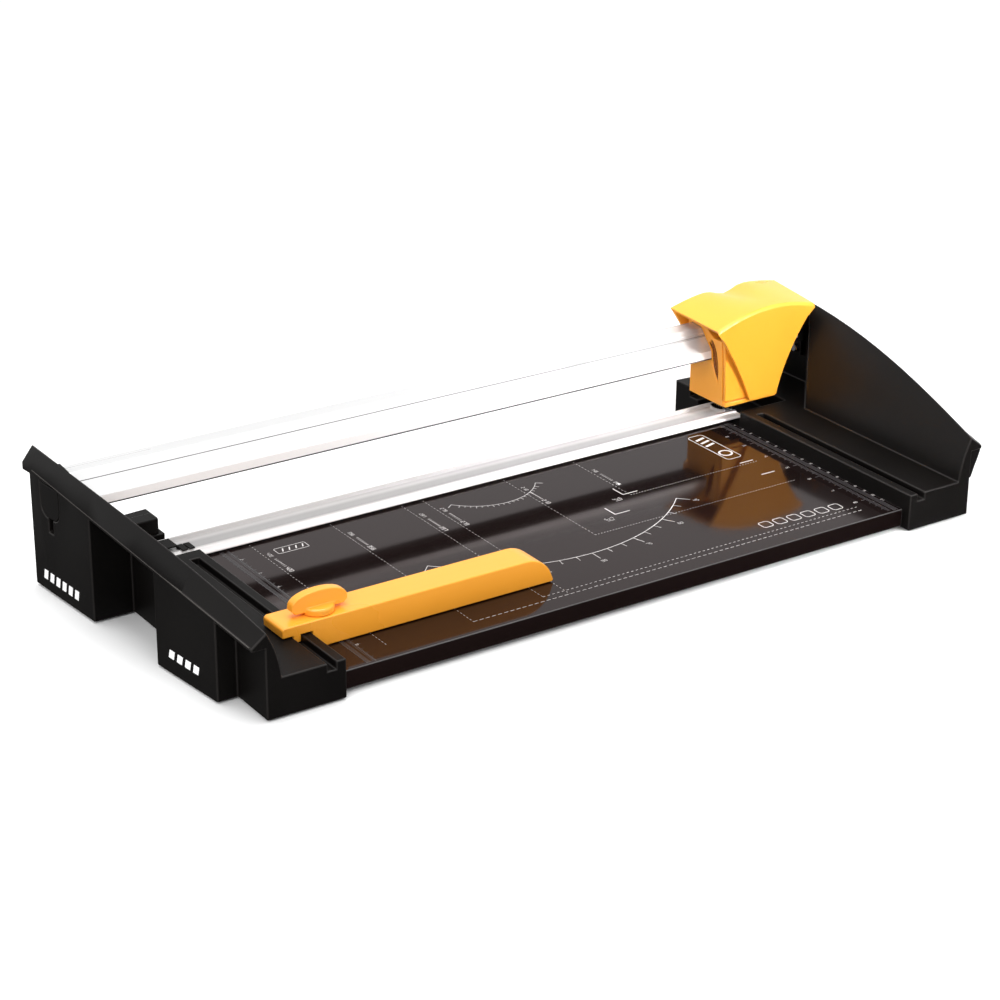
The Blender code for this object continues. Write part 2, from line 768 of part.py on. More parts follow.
def hood_corners(offset, sink=0.0):
    """Top corners (x, z) of the hood's right and left sides at a depth, and how far back that is."""
    back = (offset - HOOD_FRONT) / (HOOD_REAR - HOOD_FRONT)
    right_top = HOOD_RIGHT_TOP[0] + (HOOD_RIGHT_TOP[1] - HOOD_RIGHT_TOP[0]) * back
    left_top = HOOD_LEFT_TOP[0] + (HOOD_LEFT_TOP[1] - HOOD_LEFT_TOP[0]) * back
    right_x = HOOD_X + hood_half_width(right_top, HOOD_RIGHT) + HOOD_REACH * back
    left_x = HOOD_X - hood_half_width(left_top, HOOD_LEFT)
    return (right_x, right_top - sink), (left_x, left_top - sink), back


def hood_top(offset, sink=0.0):
    """The hood's crowned top at a depth, from right to left, dipped in the middle for the thumb."""
    right, left, back = hood_corners(offset, sink)
    crown = HOOD_CROWN[0] + (HOOD_CROWN[1] - HOOD_CROWN[0]) * back
    steps = 16
    top = []
    for i in range(steps + 1):
        t = 1 - 2 * i / steps
        x = left[0] + (right[0] - left[0]) * (1 + t) / 2
        z = left[1] + (right[1] - left[1]) * (1 + t) / 2
        hollow = HOOD_DIP * back * back * math.exp(-((t / 0.22) ** 2))
        top.append((x, z + crown * (1 - t * t) - hollow))
    return top


def hood_outline(offset, sink):
    right, left, back = hood_corners(offset, sink)
    steps = 10
    sides = []
    for sign, corner, flare, reach in ((1, right, HOOD_RIGHT, HOOD_REACH * back), (-1, left, HOOD_LEFT, 0.0)):
        side = []
        for i in range(steps):
            z = HOOD_BOTTOM + (corner[1] - HOOD_BOTTOM) * i / steps
            side.append((HOOD_X + sign * (hood_half_width(z, flare) + reach * i / steps), z))
        sides.append(side)
    return sides[0] + hood_top(offset, sink) + sides[1][::-1]


def make_hood(materials):
    """The yellow hood that the hand pushes down and along."""
    turns = [math.radians(degrees) for degrees in (8, 30, 52, 72, 90)]
    stations = [
        (HOOD_FRONT + HOOD_ROUND * (1 - math.cos(turn)), HOOD_ROUND * (1 - math.sin(turn))) for turn in turns
    ]
    stations[0] = (HOOD_FRONT, stations[0][1])
    stations += [(offset, 0.0) for offset in (-0.028, -0.014, 0.002, HOOD_REAR)]
    sections = []
    for offset, sink in stations:
        sections.append([(x, at(offset), z) for x, z in hood_outline(offset, sink)])
    origin = (HOOD_X, CUT_Y, 0.095)
    hood = finish(loft_mesh(sections), "head_hood", materials["yellow"], origin, angle=30.0)

    reach = 0.080
    inner = []
    for offset in (HOOD_FRONT + HOOD_WALL, -0.028, -0.014, 0.002, HOOD_REAR - HOOD_WALL):
        ceiling = hood_top(offset, HOOD_WALL)
        outline = [(HOOD_X + reach, 0.0), (HOOD_X + reach, ceiling[0][1]), *ceiling]
        outline += [(HOOD_X - reach, ceiling[-1][1]), (HOOD_X - reach, 0.0)]
        inner.append([(x, at(offset), z) for x, z in outline])
    cut(hood, finish(loft_mesh(inner), "hood_inside", None))
    rear_trim = box(
        "hood_rear_trim",
        (HOOD_X - 0.08, at(HOOD_REAR - HOOD_WALL) - 0.001, 0.0),
        (HOOD_X + 0.08, at(HOOD_REAR) + 0.01, HOOD_REAR_BOTTOM),
    )
    cut(hood, rear_trim)


def make_cartridge(materials):
    """The blade holder: a post from the hood down to a fork around the blade."""
    front, rear = at(-0.0315) + GAP, at(CAVITY_REAR) - GAP
    origin = (CORE_X, CUT_Y, BLADE_Z)
    body = box(
        "blade_cartridge",
        (CORE_X - CARTRIDGE_HALF, front, CARTRIDGE_BOTTOM),
        (CORE_X + CARTRIDGE_HALF, rear, SHOULDER[1]),
        materials["black"],
        origin,
    )
    shoulder = box(
        "cartridge_shoulder",
        (CORE_X - SHOULDER_HALF, front, SHOULDER[0]),
        (CORE_X + SHOULDER_HALF, rear, SHOULDER[1]),
    )
    post = box(
        "cartridge_post",
        (CORE_X - CARTRIDGE_HALF, front, SHOULDER[0]),
        (CORE_X + CARTRIDGE_HALF, at(-0.0235) - GAP, POST_TOP),
    )
    join(body, shoulder, post)
    slot = box(
        "blade_slot",
        (CORE_X - 0.02, at(-0.0018), CARTRIDGE_BOTTOM - 0.01),
        (CORE_X + 0.02, at(0.0008), BLADE_Z + BLADE_RADIUS + 0.0012),
    )
    center = (CORE_X, BLADE_Z)
    axle_start, axle_end = at(-0.0120), at(0.0026)
    bore = cylinder("axle_bore", center, AXLE_RADIUS + GAP, "y", axle_start - GAP, rear + 0.01, steps=24)
    cut(body, slot, bore)
    cylinder("blade_axle", center, AXLE_RADIUS, "y", axle_start, axle_end, materials["steel"])

    ring_origin = (CORE_X, CUT_Y, BLADE_Z)
    turned_ring("rotary_blade", BLADE_RADIUS, 0.0003, -BLADE_THICK / 2, BLADE_THICK / 2, materials["steel"], ring_origin)
    turned_ring("blade_hub", 0.0055, 0.0055, -0.0014, -0.0005, materials["grey"], ring_origin)


def turned_ring(name, radius, edge, start, end, material, origin):
    """A washer about the blade's axle; edge is how far its rim is bevelled to the middle plane."""
    steps = 48 if radius > 0.01 else 24
    inner = AXLE_RADIUS + GAP
    middle = (start + end) / 2
    taper = min(edge, 0.0022) if radius > 0.01 else 0.0
    profile = [(inner, start), (radius - 6 * taper, start), (radius, middle), (radius - 6 * taper, end), (inner, end)]
    if taper == 0.0:
        profile = [(inner, start), (radius, start), (radius, end), (inner, end)]
    mesh_bm = bmesh.new()
    rings = []
    for i in range(steps):
        turn = 2 * math.pi * i / steps
        ring = []
        for reach, offset in profile:
            x = CORE_X + reach * math.cos(turn)
            z = BLADE_Z + reach * math.sin(turn)
            ring.append(mesh_bm.verts.new((x, at(offset), z)))
        rings.append(ring)
    count = len(profile)
    for i in range(steps):
        near, far = rings[i], rings[(i + 1) % steps]
        for k in range(count):
            m = (k + 1) % count
            mesh_bm.faces.new((near[k], near[m], far[m], far[k]))
    return finish(mesh_bm, name, material, origin)


def make_press_springs(materials):
    for label, sign in (("left", -1), ("right", 1)):
        center = (CORE_X + sign * PRESS_SPRING_OFFSET[0], at(PRESS_SPRING_OFFSET[1]))
        coil_spring(
            f"{label}_press_spring",
            center,
            CAVITY_LEDGE + GAP,
            SHOULDER[0] - GAP,
            radius=0.0036,
            wire=0.0005,
            turns=6,
            material=materials["steel"],
            origin=(*center, CAVITY_LEDGE + GAP),
        )


# ---------------------------------------------------------------- paper guide


def make_guide(materials):
    """A bar across the table whose left end hooks over the casing's ridge."""
    y = at(GUIDE_Y)
    over_floor = CASING_FLOOR + 0.0004
    tongue = GROOVE_FLOOR + 0.0008
    ridge_inner = -(CASING_INNER - 0.0010)
    nose = arc((GUIDE_TIP - 0.022, GUIDE_TOP - 0.022), 0.022, 90.0, 30.0, 6)
    outline = [
        (GUIDE_LEFT, over_floor),
        (-GROOVE_OUTER + 0.0004, over_floor),
        (-GROOVE_OUTER + 0.0004, tongue),
        (-GROOVE_INNER - 0.0004, tongue),
        (-GROOVE_INNER - 0.0004, over_floor),
        (ridge_inner, over_floor),
        (ridge_inner, GUIDE_BOTTOM),
        (GUIDE_TIP - 0.0010, GUIDE_BOTTOM),
        (GUIDE_TIP, GUIDE_BOTTOM + 0.0012),
        *reversed(nose),
        (GUIDE_LEFT + 0.0015, GUIDE_TOP),
        (GUIDE_LEFT, GUIDE_TOP - 0.0015),
    ]
    depth = GUIDE_HALF_DEPTH
    origin = (KNOB_X, y, GUIDE_TOP)
    bar = prism("guide_bar", outline, "y", y - depth, y + depth, materials["yellow"], origin)
    center = (KNOB_X, y)
    cam_room = cylinder("guide_cam_room", center, 0.0113, "z", GUIDE_BOTTOM - 0.005, 0.0270, steps=32)
    open_side = box(
        "guide_cam_window",
        (ridge_inner - 0.005, y - 0.0075, GUIDE_BOTTOM - 0.005),
        (KNOB_X, y + 0.0075, 0.0270),
    )
    stud_hole = cylinder("guide_stud_hole", center, 0.0023, "z", 0.0200, GUIDE_TOP + 0.01, steps=20)
    cut(bar, cam_room, open_side, stud_hole)

    cylinder("knob_stud", center, 0.0020, "z", 0.0182, 0.0392, materials["steel"], 20, (*center, GUIDE_TOP))
    cam = cylinder(
        "clamp_cam", (KNOB_X - 0.0026, y), 0.0082, "z", 0.0190, 0.0262, materials["black"], 28, (*center, 0.0226)
    )
    cut(cam, cylinder("cam_bore", center, 0.0023, "z", 0.010, 0.030, steps=20))

    knob_low, knob_high = GUIDE_TOP + GAP, GUIDE_TOP + 0.0050
    stations = (
        (knob_low, KNOB_RADIUS),
        (knob_high - 0.0010, KNOB_RADIUS),
        (knob_high, KNOB_RADIUS - 0.0010),
    )
    knob = stepped_pin("guide_knob", center, "z", stations, materials["yellow"], steps=32)
    wing_half, wing_low, wing_high = 0.0205, GUIDE_TOP + 0.0020, GUIDE_TOP + 0.0155
    steps = 14
    wing_outline = [(KNOB_X - wing_half, wing_low + 0.003), (KNOB_X - wing_half + 0.003, wing_low)]
    wing_outline += [(KNOB_X + wing_half - 0.003, wing_low), (KNOB_X + wing_half, wing_low + 0.003)]
    for i in range(1, steps):
        t = math.pi * i / steps
        rise = (wing_high - wing_low - 0.003) * math.sin(t) ** 0.7
        wing_outline.append((KNOB_X + wing_half * math.cos(t), wing_low + 0.003 + rise))
    wing = prism("knob_wing", wing_outline, "y", y - 0.0034, y + 0.0034)
    join(knob, wing)
    cut(knob, cylinder("knob_bore", center, 0.0023, "z", 0.030, 0.0395, steps=20))


# ---------------------------------------------------------------- latch


def make_latch(casing, materials):
    """A U-shaped press tab, flush with the outer side of the left casing's rear pod."""
    start, end = at(LATCH_SPAN[0]), at(LATCH_SPAN[1])
    low, high = LATCH_HEIGHT
    middle = (start + end) / 2

    def u_outline(grow):
        half = (end - start) / 2 + grow
        corner = 0.008
        right = arc((middle + half - corner, low - grow + corner), corner, -90.0, 0.0, 5)
        left = arc((middle - half + corner, low - grow + corner), corner, 180.0, 270.0, 5)
        return [*right, (middle + half, high + grow), (middle - half, high + grow), *left]

    opening = prism("latch_opening", u_outline(0.00035), "x", -0.330, -0.3168)
    cut(casing, opening)
    finger_slot = prism(
        "latch_finger_slot",
        [(middle - 0.003, 0.0468), (middle + 0.003, 0.0468), (middle + 0.003, low + 0.001), (middle - 0.003, low + 0.001)],
        "x",
        -0.330,
        -0.3168,
    )
    cut(casing, finger_slot)
    sections = []
    for inset in (0.0002, 0.0020):
        sections.append([(-(outer_x(y) - inset), y, z) for y, z in u_outline(0.0)])
    origin = (-0.3188, middle, high)
    finish(loft_mesh(sections), "latch_tab", materials["black"], origin)


def main():
    clear_scene()
    materials = make_materials()
    make_table(materials)
    make_rail(materials)
    for side, label in ((-1, "left"), (1, "right")):
        casing = make_casing(side, label, materials)
        for place in ("front", "rear"):
            add_foot(casing, side, label, place, materials)
            add_table_screw(casing, side, label, place, materials)
        make_rail_socket(casing, side, label, materials)
        make_strip_mount(casing, side, label, materials)
        if label == "left":
            make_latch(casing, materials)
    make_guard_strip(materials)
    make_carriage(materials)
    make_hood(materials)
    make_cartridge(materials)
    make_press_springs(materials)
    make_guide(materials)


main()
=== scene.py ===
"""Looks of the rotary paper trimmer: edges, printed table, finishes, small fittings and studio.

Lengths are in metres. Places in depth are offsets from the cutting line, where the blade meets
the mat: negative is the user's side, and at() turns an offset into world Y.
"""

import json
import math

import bmesh
import bpy
from mathutils import Matrix, Vector

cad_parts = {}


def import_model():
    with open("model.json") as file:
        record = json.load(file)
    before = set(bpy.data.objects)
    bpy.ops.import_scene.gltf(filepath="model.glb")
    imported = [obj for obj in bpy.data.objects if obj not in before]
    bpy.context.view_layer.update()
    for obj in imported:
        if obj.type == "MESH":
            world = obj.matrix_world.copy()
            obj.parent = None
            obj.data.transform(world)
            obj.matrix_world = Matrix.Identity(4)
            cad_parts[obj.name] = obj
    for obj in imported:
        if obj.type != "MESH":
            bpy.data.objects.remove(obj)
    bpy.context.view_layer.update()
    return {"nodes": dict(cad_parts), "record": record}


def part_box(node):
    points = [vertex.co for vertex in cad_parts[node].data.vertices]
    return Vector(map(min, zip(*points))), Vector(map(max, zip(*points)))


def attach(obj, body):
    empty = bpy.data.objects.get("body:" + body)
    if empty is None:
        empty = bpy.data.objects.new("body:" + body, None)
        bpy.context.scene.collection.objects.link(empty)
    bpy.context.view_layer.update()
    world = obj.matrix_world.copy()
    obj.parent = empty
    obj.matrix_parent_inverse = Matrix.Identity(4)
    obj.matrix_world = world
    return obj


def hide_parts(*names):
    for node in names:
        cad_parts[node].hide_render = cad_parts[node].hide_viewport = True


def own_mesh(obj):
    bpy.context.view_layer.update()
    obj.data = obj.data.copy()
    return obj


CUT_Y = 0.1005
INCH = 0.0254
SHARP_ANGLE = math.radians(32.0)


def at(offset):
    """World Y of a place given as an offset from the cutting line."""
    return CUT_Y + offset


# ---------------------------------------------------------------- shader nodes

NOISE_SPAN = (0.3, 0.7)  # nearly all of a noise texture's values
UNIT_SPAN = (0.0, 1.0)


def axis_of(tree, vector, axis):
    """One axis of a vector socket."""
    node = tree.nodes.new("ShaderNodeSeparateXYZ")
    tree.links.new(vector, node.inputs["Vector"])
    return node.outputs[axis]


def map_range(tree, value, source, target, smooth=False):
    """A value socket carried from one span to another."""
    node = tree.nodes.new("ShaderNodeMapRange")
    if smooth:
        node.interpolation_type = "SMOOTHSTEP"
    node.inputs["From Min"].default_value, node.inputs["From Max"].default_value = source
    node.inputs["To Min"].default_value, node.inputs["To Max"].default_value = target
    tree.links.new(value, node.inputs["Value"])
    return node.outputs["Result"]


class Shader:
    """A Principled material with a few node helpers."""

    def __init__(self, name):
        self.material = bpy.data.materials.new(name)
        self.material.use_nodes = True
        self.tree = self.material.node_tree
        self.principled = self.tree.nodes["Principled BSDF"]
        self.coords = self.tree.nodes.new("ShaderNodeTexCoord").outputs["Object"]

    def set(self, **values):
        for key, value in values.items():
            self.principled.inputs[key.replace("_", " ")].default_value = value

    def feed(self, socket, output):
        self.tree.links.new(output, self.principled.inputs[socket])

    def stretched_along_x(self, scale):
        mapping = self.tree.nodes.new("ShaderNodeMapping")
        mapping.inputs["Scale"].default_value = (scale, 1.0, 1.0)
        self.tree.links.new(self.coords, mapping.inputs["Vector"])
        return mapping.outputs["Vector"]

    def noise(self, scale, detail=3.0, vector=None):
        node = self.tree.nodes.new("ShaderNodeTexNoise")
        node.inputs["Scale"].default_value = scale
        node.inputs["Detail"].default_value = detail
        self.tree.links.new(vector or self.coords, node.inputs["Vector"])
        return node.outputs["Fac"]

    def ramp(self, value, target, source=NOISE_SPAN):
        return map_range(self.tree, value, source, target)

    def mix(self, factor, first, second):
        """A colour socket between two others, each given as a colour or as a socket."""
        node = self.tree.nodes.new("ShaderNodeMix")
        node.data_type = "RGBA"
        self.tree.links.new(factor, node.inputs["Factor"])
        for socket, color in (("A", first), ("B", second)):
            if isinstance(color, tuple):
                node.inputs[socket].default_value = (*color, 1.0)
            else:
                self.tree.links.new(color, node.inputs[socket])
        return node.outputs["Result"]

    def mottled(self, noise, tones):
        """A colour socket that drifts between two tones."""
        return self.mix(self.ramp(noise, UNIT_SPAN), *tones)

    def facing(self, axis, limit):
        """1 where the surface's normal along an axis is under a limit, else 0."""
        normal = self.tree.nodes.new("ShaderNodeNewGeometry").outputs["Normal"]
        test = self.tree.nodes.new("ShaderNodeMath")
        test.operation = "LESS_THAN"
        test.inputs[1].default_value = limit
        self.tree.links.new(axis_of(self.tree, normal, axis), test.inputs[0])
        return test.outputs["Value"]

    def bump(self, height, strength, distance):
        node = self.tree.nodes.new("ShaderNodeBump")
        node.inputs["Strength"].default_value = strength
        node.inputs["Distance"].default_value = distance
        self.tree.links.new(height, node.inputs["Height"])
        self.feed("Normal", node.outputs["Normal"])


# ---------------------------------------------------------------- materials

DOWNWARD = -0.90  # limits on a normal's share along an axis
FRONTWARD = -0.93
LEVEL = 0.97

PATCH_SCALE = 14.0
GRAIN_SCALE, GRAIN_DETAIL, GRAIN_DEPTH = 900.0, 2.0, 0.0004
DRAWN_SCALE, DRAWN_DETAIL, DRAWN_DEPTH = 60.0, 4.0, 0.0001


def grey(value):
    return (value, value, value)


PLASTICS = {
    "black_plastic": {
        "tones": ((0.0032, 0.0026, 0.0024), (0.0048, 0.0040, 0.0036)),
        "roughness": (0.34, 0.46),
        "grain": 0.10,
        "specular": 0.15,
        "level_specular": 0.06,
    },
    # lighter than the black plastic: a painted highlight on the casings' rounded edges
    "black_edge_highlight": {
        "tones": ((0.011, 0.0095, 0.009), (0.015, 0.013, 0.012)),
        "roughness": (0.36, 0.46),
        "specular": 0.2,
    },
    "yellow_plastic": {
        "tones": ((0.93, 0.365, 0.030), (0.97, 0.395, 0.035)),
        "roughness": (0.26, 0.34),
    },
    "grey_plastic": {
        "tones": (grey(0.10), grey(0.14)),
        "roughness": (0.45, 0.60),
        "grain": 0.10,
    },
    "rubber": {
        "tones": (grey(0.010), grey(0.016)),
        "roughness": (0.70, 0.90),
        "grain": 0.20,
        "specular": 0.3,
    },
    "badge_white": {
        "tones": (grey(0.88), grey(0.94)),
        "roughness": (0.35, 0.50),
    },
    "print_white": {
        "tones": ((0.60, 0.57, 0.56), (0.72, 0.69, 0.68)),
        "roughness": (0.35, 0.50),
    },
    "print_grey": {
        "tones": ((0.045, 0.042, 0.044), (0.060, 0.056, 0.058)),
        "roughness": (0.25, 0.35),
    },
    # grey of the rail's scored line, and a painted highlight on the base plate's rounded edges
    "score_line_and_edge_highlight": {
        "tones": ((0.10, 0.095, 0.095), (0.13, 0.125, 0.125)),
        "roughness": (0.40, 0.55),
        "specular": 0.2,
    },
    # dark foot line on the rail; on the black casings' rims this grey is a painted highlight
    "foot_line_and_rim_highlight": {
        "tones": ((0.045, 0.040, 0.038), (0.060, 0.055, 0.050)),
        "roughness": (0.40, 0.55),
        "specular": 0.2,
    },
    # painted shade: the brown that stands for the shade in the carriage's finger slots
    "painted_shade_brown": {
        "tones": ((0.20, 0.060, 0.014), (0.26, 0.080, 0.018)),
        "roughness": (0.45, 0.60),
        "specular": 0.1,
    },
}


def plastic(name, tones, roughness, grain=0.05, specular=0.5, level_specular=None):
    """Moulded plastic with a fine grain, whose level faces may mirror less than its walls."""
    shader = Shader(name)
    patches = shader.noise(PATCH_SCALE)
    shader.feed("Base Color", shader.mottled(patches, tones))
    shader.feed("Roughness", shader.ramp(patches, roughness))
    shader.set(Specular_IOR_Level=specular)
    if level_specular is not None:
        sloped = shader.facing("Z", LEVEL)
        strengths = shader.ramp(sloped, (level_specular, specular), UNIT_SPAN)
        shader.feed("Specular IOR Level", strengths)
    shader.bump(shader.noise(GRAIN_SCALE, GRAIN_DETAIL), grain, GRAIN_DEPTH)
    return shader.material


def printed_plate():
    """Glossy dark enamel over steel, with a faint haze."""
    shader = Shader("printed_plate")
    haze = shader.noise(scale=9.0)
    tones = ((0.0085, 0.0050, 0.0047), (0.0105, 0.0062, 0.0058))
    shader.feed("Base Color", shader.mottled(haze, tones))
    shader.feed("Roughness", shader.ramp(haze, target=(0.06, 0.09)))
    shader.set(Specular_IOR_Level=0.18, Specular_Tint=(1.0, 0.56, 0.56, 1.0))
    shader.bump(shader.noise(scale=30.0), strength=0.02, distance=0.0002)
    return shader.material


def steel():
    """Bright ground steel."""
    shader = Shader("steel")
    drawn = shader.noise(DRAWN_SCALE, DRAWN_DETAIL)
    shader.feed("Base Color", shader.mottled(drawn, ((0.50, 0.50, 0.51), (0.62, 0.62, 0.63))))
    shader.feed("Roughness", shader.ramp(drawn, target=(0.20, 0.32)))
    shader.set(Metallic=1.0)
    shader.bump(drawn, strength=0.05, distance=DRAWN_DEPTH)
    return shader.material


def rail_metal():
    """Satin anodised aluminium, drawn lengthwise; painted light on its front and painted shade
    beneath.
    """
    shader = Shader("aluminium_rail")
    drawn = shader.noise(DRAWN_SCALE, DRAWN_DETAIL, shader.stretched_along_x(0.02))
    satin = shader.mottled(drawn, (grey(0.62), grey(0.68)))
    # front faces get a near-white colour and less metal: painted light
    front = shader.facing("Y", FRONTWARD)
    with_painted_light = shader.mix(front, satin, (0.97, 0.94, 0.93))
    # faces turned down are painted dark: painted shade
    shader.feed("Base Color", shader.mix(shader.facing("Z", DOWNWARD), with_painted_light, grey(0.03)))
    shader.feed("Roughness", shader.ramp(drawn, target=(0.24, 0.34)))
    shader.feed("Metallic", shader.ramp(front, target=(0.45, 0.08), source=UNIT_SPAN))
    shader.bump(drawn, strength=0.04, distance=DRAWN_DEPTH)
    return shader.material


STRIP_FRONT, STRIP_REAR = -0.0327, -0.0025
STRIP_TINT = (1.0, 0.965, 0.955)
STRIP_BANDS = (  # share of the way from the strip's front to its rear, and brightness there
    (0.0, 0.96),
    (0.24, 0.96),
    (0.30, 0.50),
    (0.62, 0.56),
    (0.80, 0.86),
    (0.88, 0.78),
    (1.0, 0.90),
)


def strip_plastic():
    """Clear extrusion drawn lengthwise, its colour in bands across it: pale on its pressing flange,
    darker over its channel.
    """
    shader = Shader("clear_plastic")
    bands = shader.tree.nodes.new("ShaderNodeValToRGB")
    bands.color_ramp.interpolation = "EASE"
    stops = bands.color_ramp.elements
    stops[0].position, stops[1].position = UNIT_SPAN
    for place, _ in STRIP_BANDS[1:-1]:
        stops.new(place)
    for stop, (_, value) in zip(stops, STRIP_BANDS):
        stop.color = (*(value * share for share in STRIP_TINT), 1.0)
    depth = axis_of(shader.tree, shader.coords, "Y")
    across = shader.ramp(depth, target=UNIT_SPAN, source=(at(STRIP_FRONT), at(STRIP_REAR)))
    shader.tree.links.new(across, bands.inputs["Fac"])
    shader.feed("Base Color", bands.outputs["Color"])
    streaks = shader.noise(scale=30.0, detail=2.0, vector=shader.stretched_along_x(0.05))
    shader.feed("Roughness", shader.ramp(streaks, target=(0.10, 0.18)))
    shader.set(Transmission_Weight=0.18, IOR=1.49)
    shader.bump(streaks, strength=0.05, distance=DRAWN_DEPTH)
    return shader.material


def make_materials():
    """Every finish by the name of its slot."""
    plastics = {name: plastic(name, **finish) for name, finish in PLASTICS.items()}
    return plastics | {
        "printed_plate": printed_plate(),
        "steel": steel(),
        "aluminium_rail": rail_metal(),
        "clear_plastic": strip_plastic(),
    }


# ---------------------------------------------------------------- pieces

PIECE_SEGMENTS = 2


def make_piece(mesh_bm, name, material, body):
    """An object made from a bmesh, riding on a body."""
    bmesh.ops.recalc_face_normals(mesh_bm, faces=mesh_bm.faces)
    mesh = bpy.data.meshes.new(name)
    mesh_bm.to_mesh(mesh)
    mesh_bm.free()
    if material is not None:
        mesh.materials.append(material)
    piece = bpy.data.objects.new(name, mesh)
    bpy.context.scene.collection.objects.link(piece)
    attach(piece, body)
    return piece


class Solid:
    """Closed bodies gathered into one mesh."""

    def __init__(self):
        self.mesh_bm = bmesh.new()

    def loft(self, sections):
        rings = [[self.mesh_bm.verts.new(point) for point in section] for section in sections]
        count = len(rings[0])
        for near, far in zip(rings, rings[1:]):
            for i in range(count):
                j = (i + 1) % count
                self.mesh_bm.faces.new((near[i], near[j], far[j], far[i]))
        self.mesh_bm.faces.new(rings[0][::-1])
        self.mesh_bm.faces.new(rings[-1])
        return self

    def along_x(self, section, start, end):
        """A bar on a section in (offset, z), from start to end along X."""
        return self.loft([[(x, at(y), z) for y, z in section] for x in (start, end)])

    def upright(self, plan, low, high):
        """A prism on a plan outline in (x, offset)."""
        return self.loft([[(x, at(y), z) for x, y in plan] for z in (low, high)])

    def ring(self, outer, inner, start, end):
        """A collar between two outlines in world (y, z), from start to end along X."""
        loops = []
        for along in (start, end):
            for outline in (outer, inner):
                loops.append([self.mesh_bm.verts.new((along, y, z)) for y, z in outline])
        outer_near, inner_near, outer_far, inner_far = loops
        add = self.mesh_bm.faces.new
        for i in range(len(outer)):
            j = (i + 1) % len(outer)
            add((outer_near[i], outer_near[j], outer_far[j], outer_far[i]))
            add((inner_near[j], inner_near[i], inner_far[i], inner_far[j]))
            add((outer_near[j], outer_near[i], inner_near[i], inner_near[j]))
            add((outer_far[i], outer_far[j], inner_far[j], inner_far[i]))

    def finish(self, name, material, body, bevel=0.0):
        piece = make_piece(self.mesh_bm, name, material, body)
        piece.data.shade_smooth()
        piece.data.set_sharp_from_angle(angle=SHARP_ANGLE)
        if bevel:
            edge = piece.modifiers.new("bevel", "BEVEL")
            edge.width = bevel
            edge.segments = PIECE_SEGMENTS
            edge.limit_method = "ANGLE"
        return piece


# ---------------------------------------------------------------- CAD nodes

FINE_WELD = 0.00002
WELD_DISTANCES = {"left_casing": 0.00025, "right_casing": 0.00025}  # where it isn't fine
FLAT_ANGLE = math.radians(0.6)
EDGE_SEGMENTS = 3
CLAMPED = ("head_hood",)  # nodes whose rounded edges would overlap
LIT_EDGES = {  # lighter colour on a node's rounded edges: painted highlight where they catch the light
    "left_casing": "black_edge_highlight",
    "right_casing": "black_edge_highlight",
    "base_plate": "score_line_and_edge_highlight",
}
EDGE_WIDTHS = {
    "left_casing": 0.0009,
    "right_casing": 0.0009,
    "head_hood": 0.0009,
    "carriage_body": 0.0006,
    "guide_bar": 0.0009,
    "guide_knob": 0.0007,
    "base_plate": 0.0006,
    "guide_rail": 0.0004,
    "guard_strip": 0.0003,
    "latch_tab": 0.0003,
    "left_strip_clip": 0.0005,
    "right_strip_clip": 0.0005,
    "blade_cartridge": 0.0004,
}

# The carriage's finger slot in (offset, z): its outer edge, then its inner edge as cut in the
# body and as drawn on the brown floor of painted shade, which leaves a lip.
LEAF_FRONT = (
    (-0.0186, 0.0813),
    (-0.0210, 0.0802),
    (-0.0236, 0.0769),
    (-0.0259, 0.0725),
    (-0.0278, 0.0648),
    (-0.0287, 0.0578),
    (-0.0285, 0.0494),
    (-0.0250, 0.0545),
)
LEAF_DEEP = ((-0.0215, 0.0600), (-0.0190, 0.0640), (-0.0160, 0.0730), (-0.0165, 0.0780))
LEAF_SHALLOW = (
    (-0.0222, 0.0605),
    (-0.0220, 0.0632),
    (-0.0212, 0.0705),
    (-0.0204, 0.0734),
    (-0.0186, 0.0757),
    (-0.0180, 0.0785),
)
SLOT_DEPTH = 0.0013
SLOT_OVERSHOOT = 0.002


def round_edges(node, width, edge_highlight_material):
    """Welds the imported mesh, merges its flat triangles and rounds its sharp edges."""
    weld = node.modifiers.new("weld", "WELD")
    weld.merge_threshold = WELD_DISTANCES.get(node.name, FINE_WELD)
    flat = node.modifiers.new("flat", "DECIMATE")
    flat.decimate_type = "DISSOLVE"
    flat.angle_limit = FLAT_ANGLE
    bevel = node.modifiers.new("bevel", "BEVEL")
    bevel.width = width
    bevel.segments = EDGE_SEGMENTS
    bevel.limit_method = "ANGLE"
    bevel.angle_limit = SHARP_ANGLE
    bevel.use_clamp_overlap = node.name in CLAMPED
    # the rounded edges get the lighter colour listed for the node: painted highlight
    if edge_highlight_material is not None:
        node.data.materials.append(edge_highlight_material)
        bevel.material = 1
    shading = node.modifiers.new("shading", "WEIGHTED_NORMAL")
    shading.mode = "FACE_AREA"
    shading.keep_sharp = False


def cut_finger_slots(carriage):
    """Leaf-shaped finger slots in both end faces of the carriage, beside the rail."""
    low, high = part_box("carriage_body")
    weld = carriage.modifiers.new("closed", "WELD")
    weld.merge_threshold = FINE_WELD
    for label, start, end in (
        ("left", low[0] - SLOT_OVERSHOOT, low[0] + SLOT_DEPTH),
        ("right", high[0] - SLOT_DEPTH, high[0] + SLOT_OVERSHOOT),
    ):
        tool = Solid().along_x(LEAF_FRONT + LEAF_DEEP, start, end)
        cutter = tool.finish(f"{label}_slot_cutter", None, "carriage")
        cutter.hide_render = True
        cutter.display_type = "WIRE"
        slot = carriage.modifiers.new(f"{label}_slot", "BOOLEAN")
        slot.operation = "DIFFERENCE"
        slot.solver = "MANIFOLD"
        slot.object = cutter


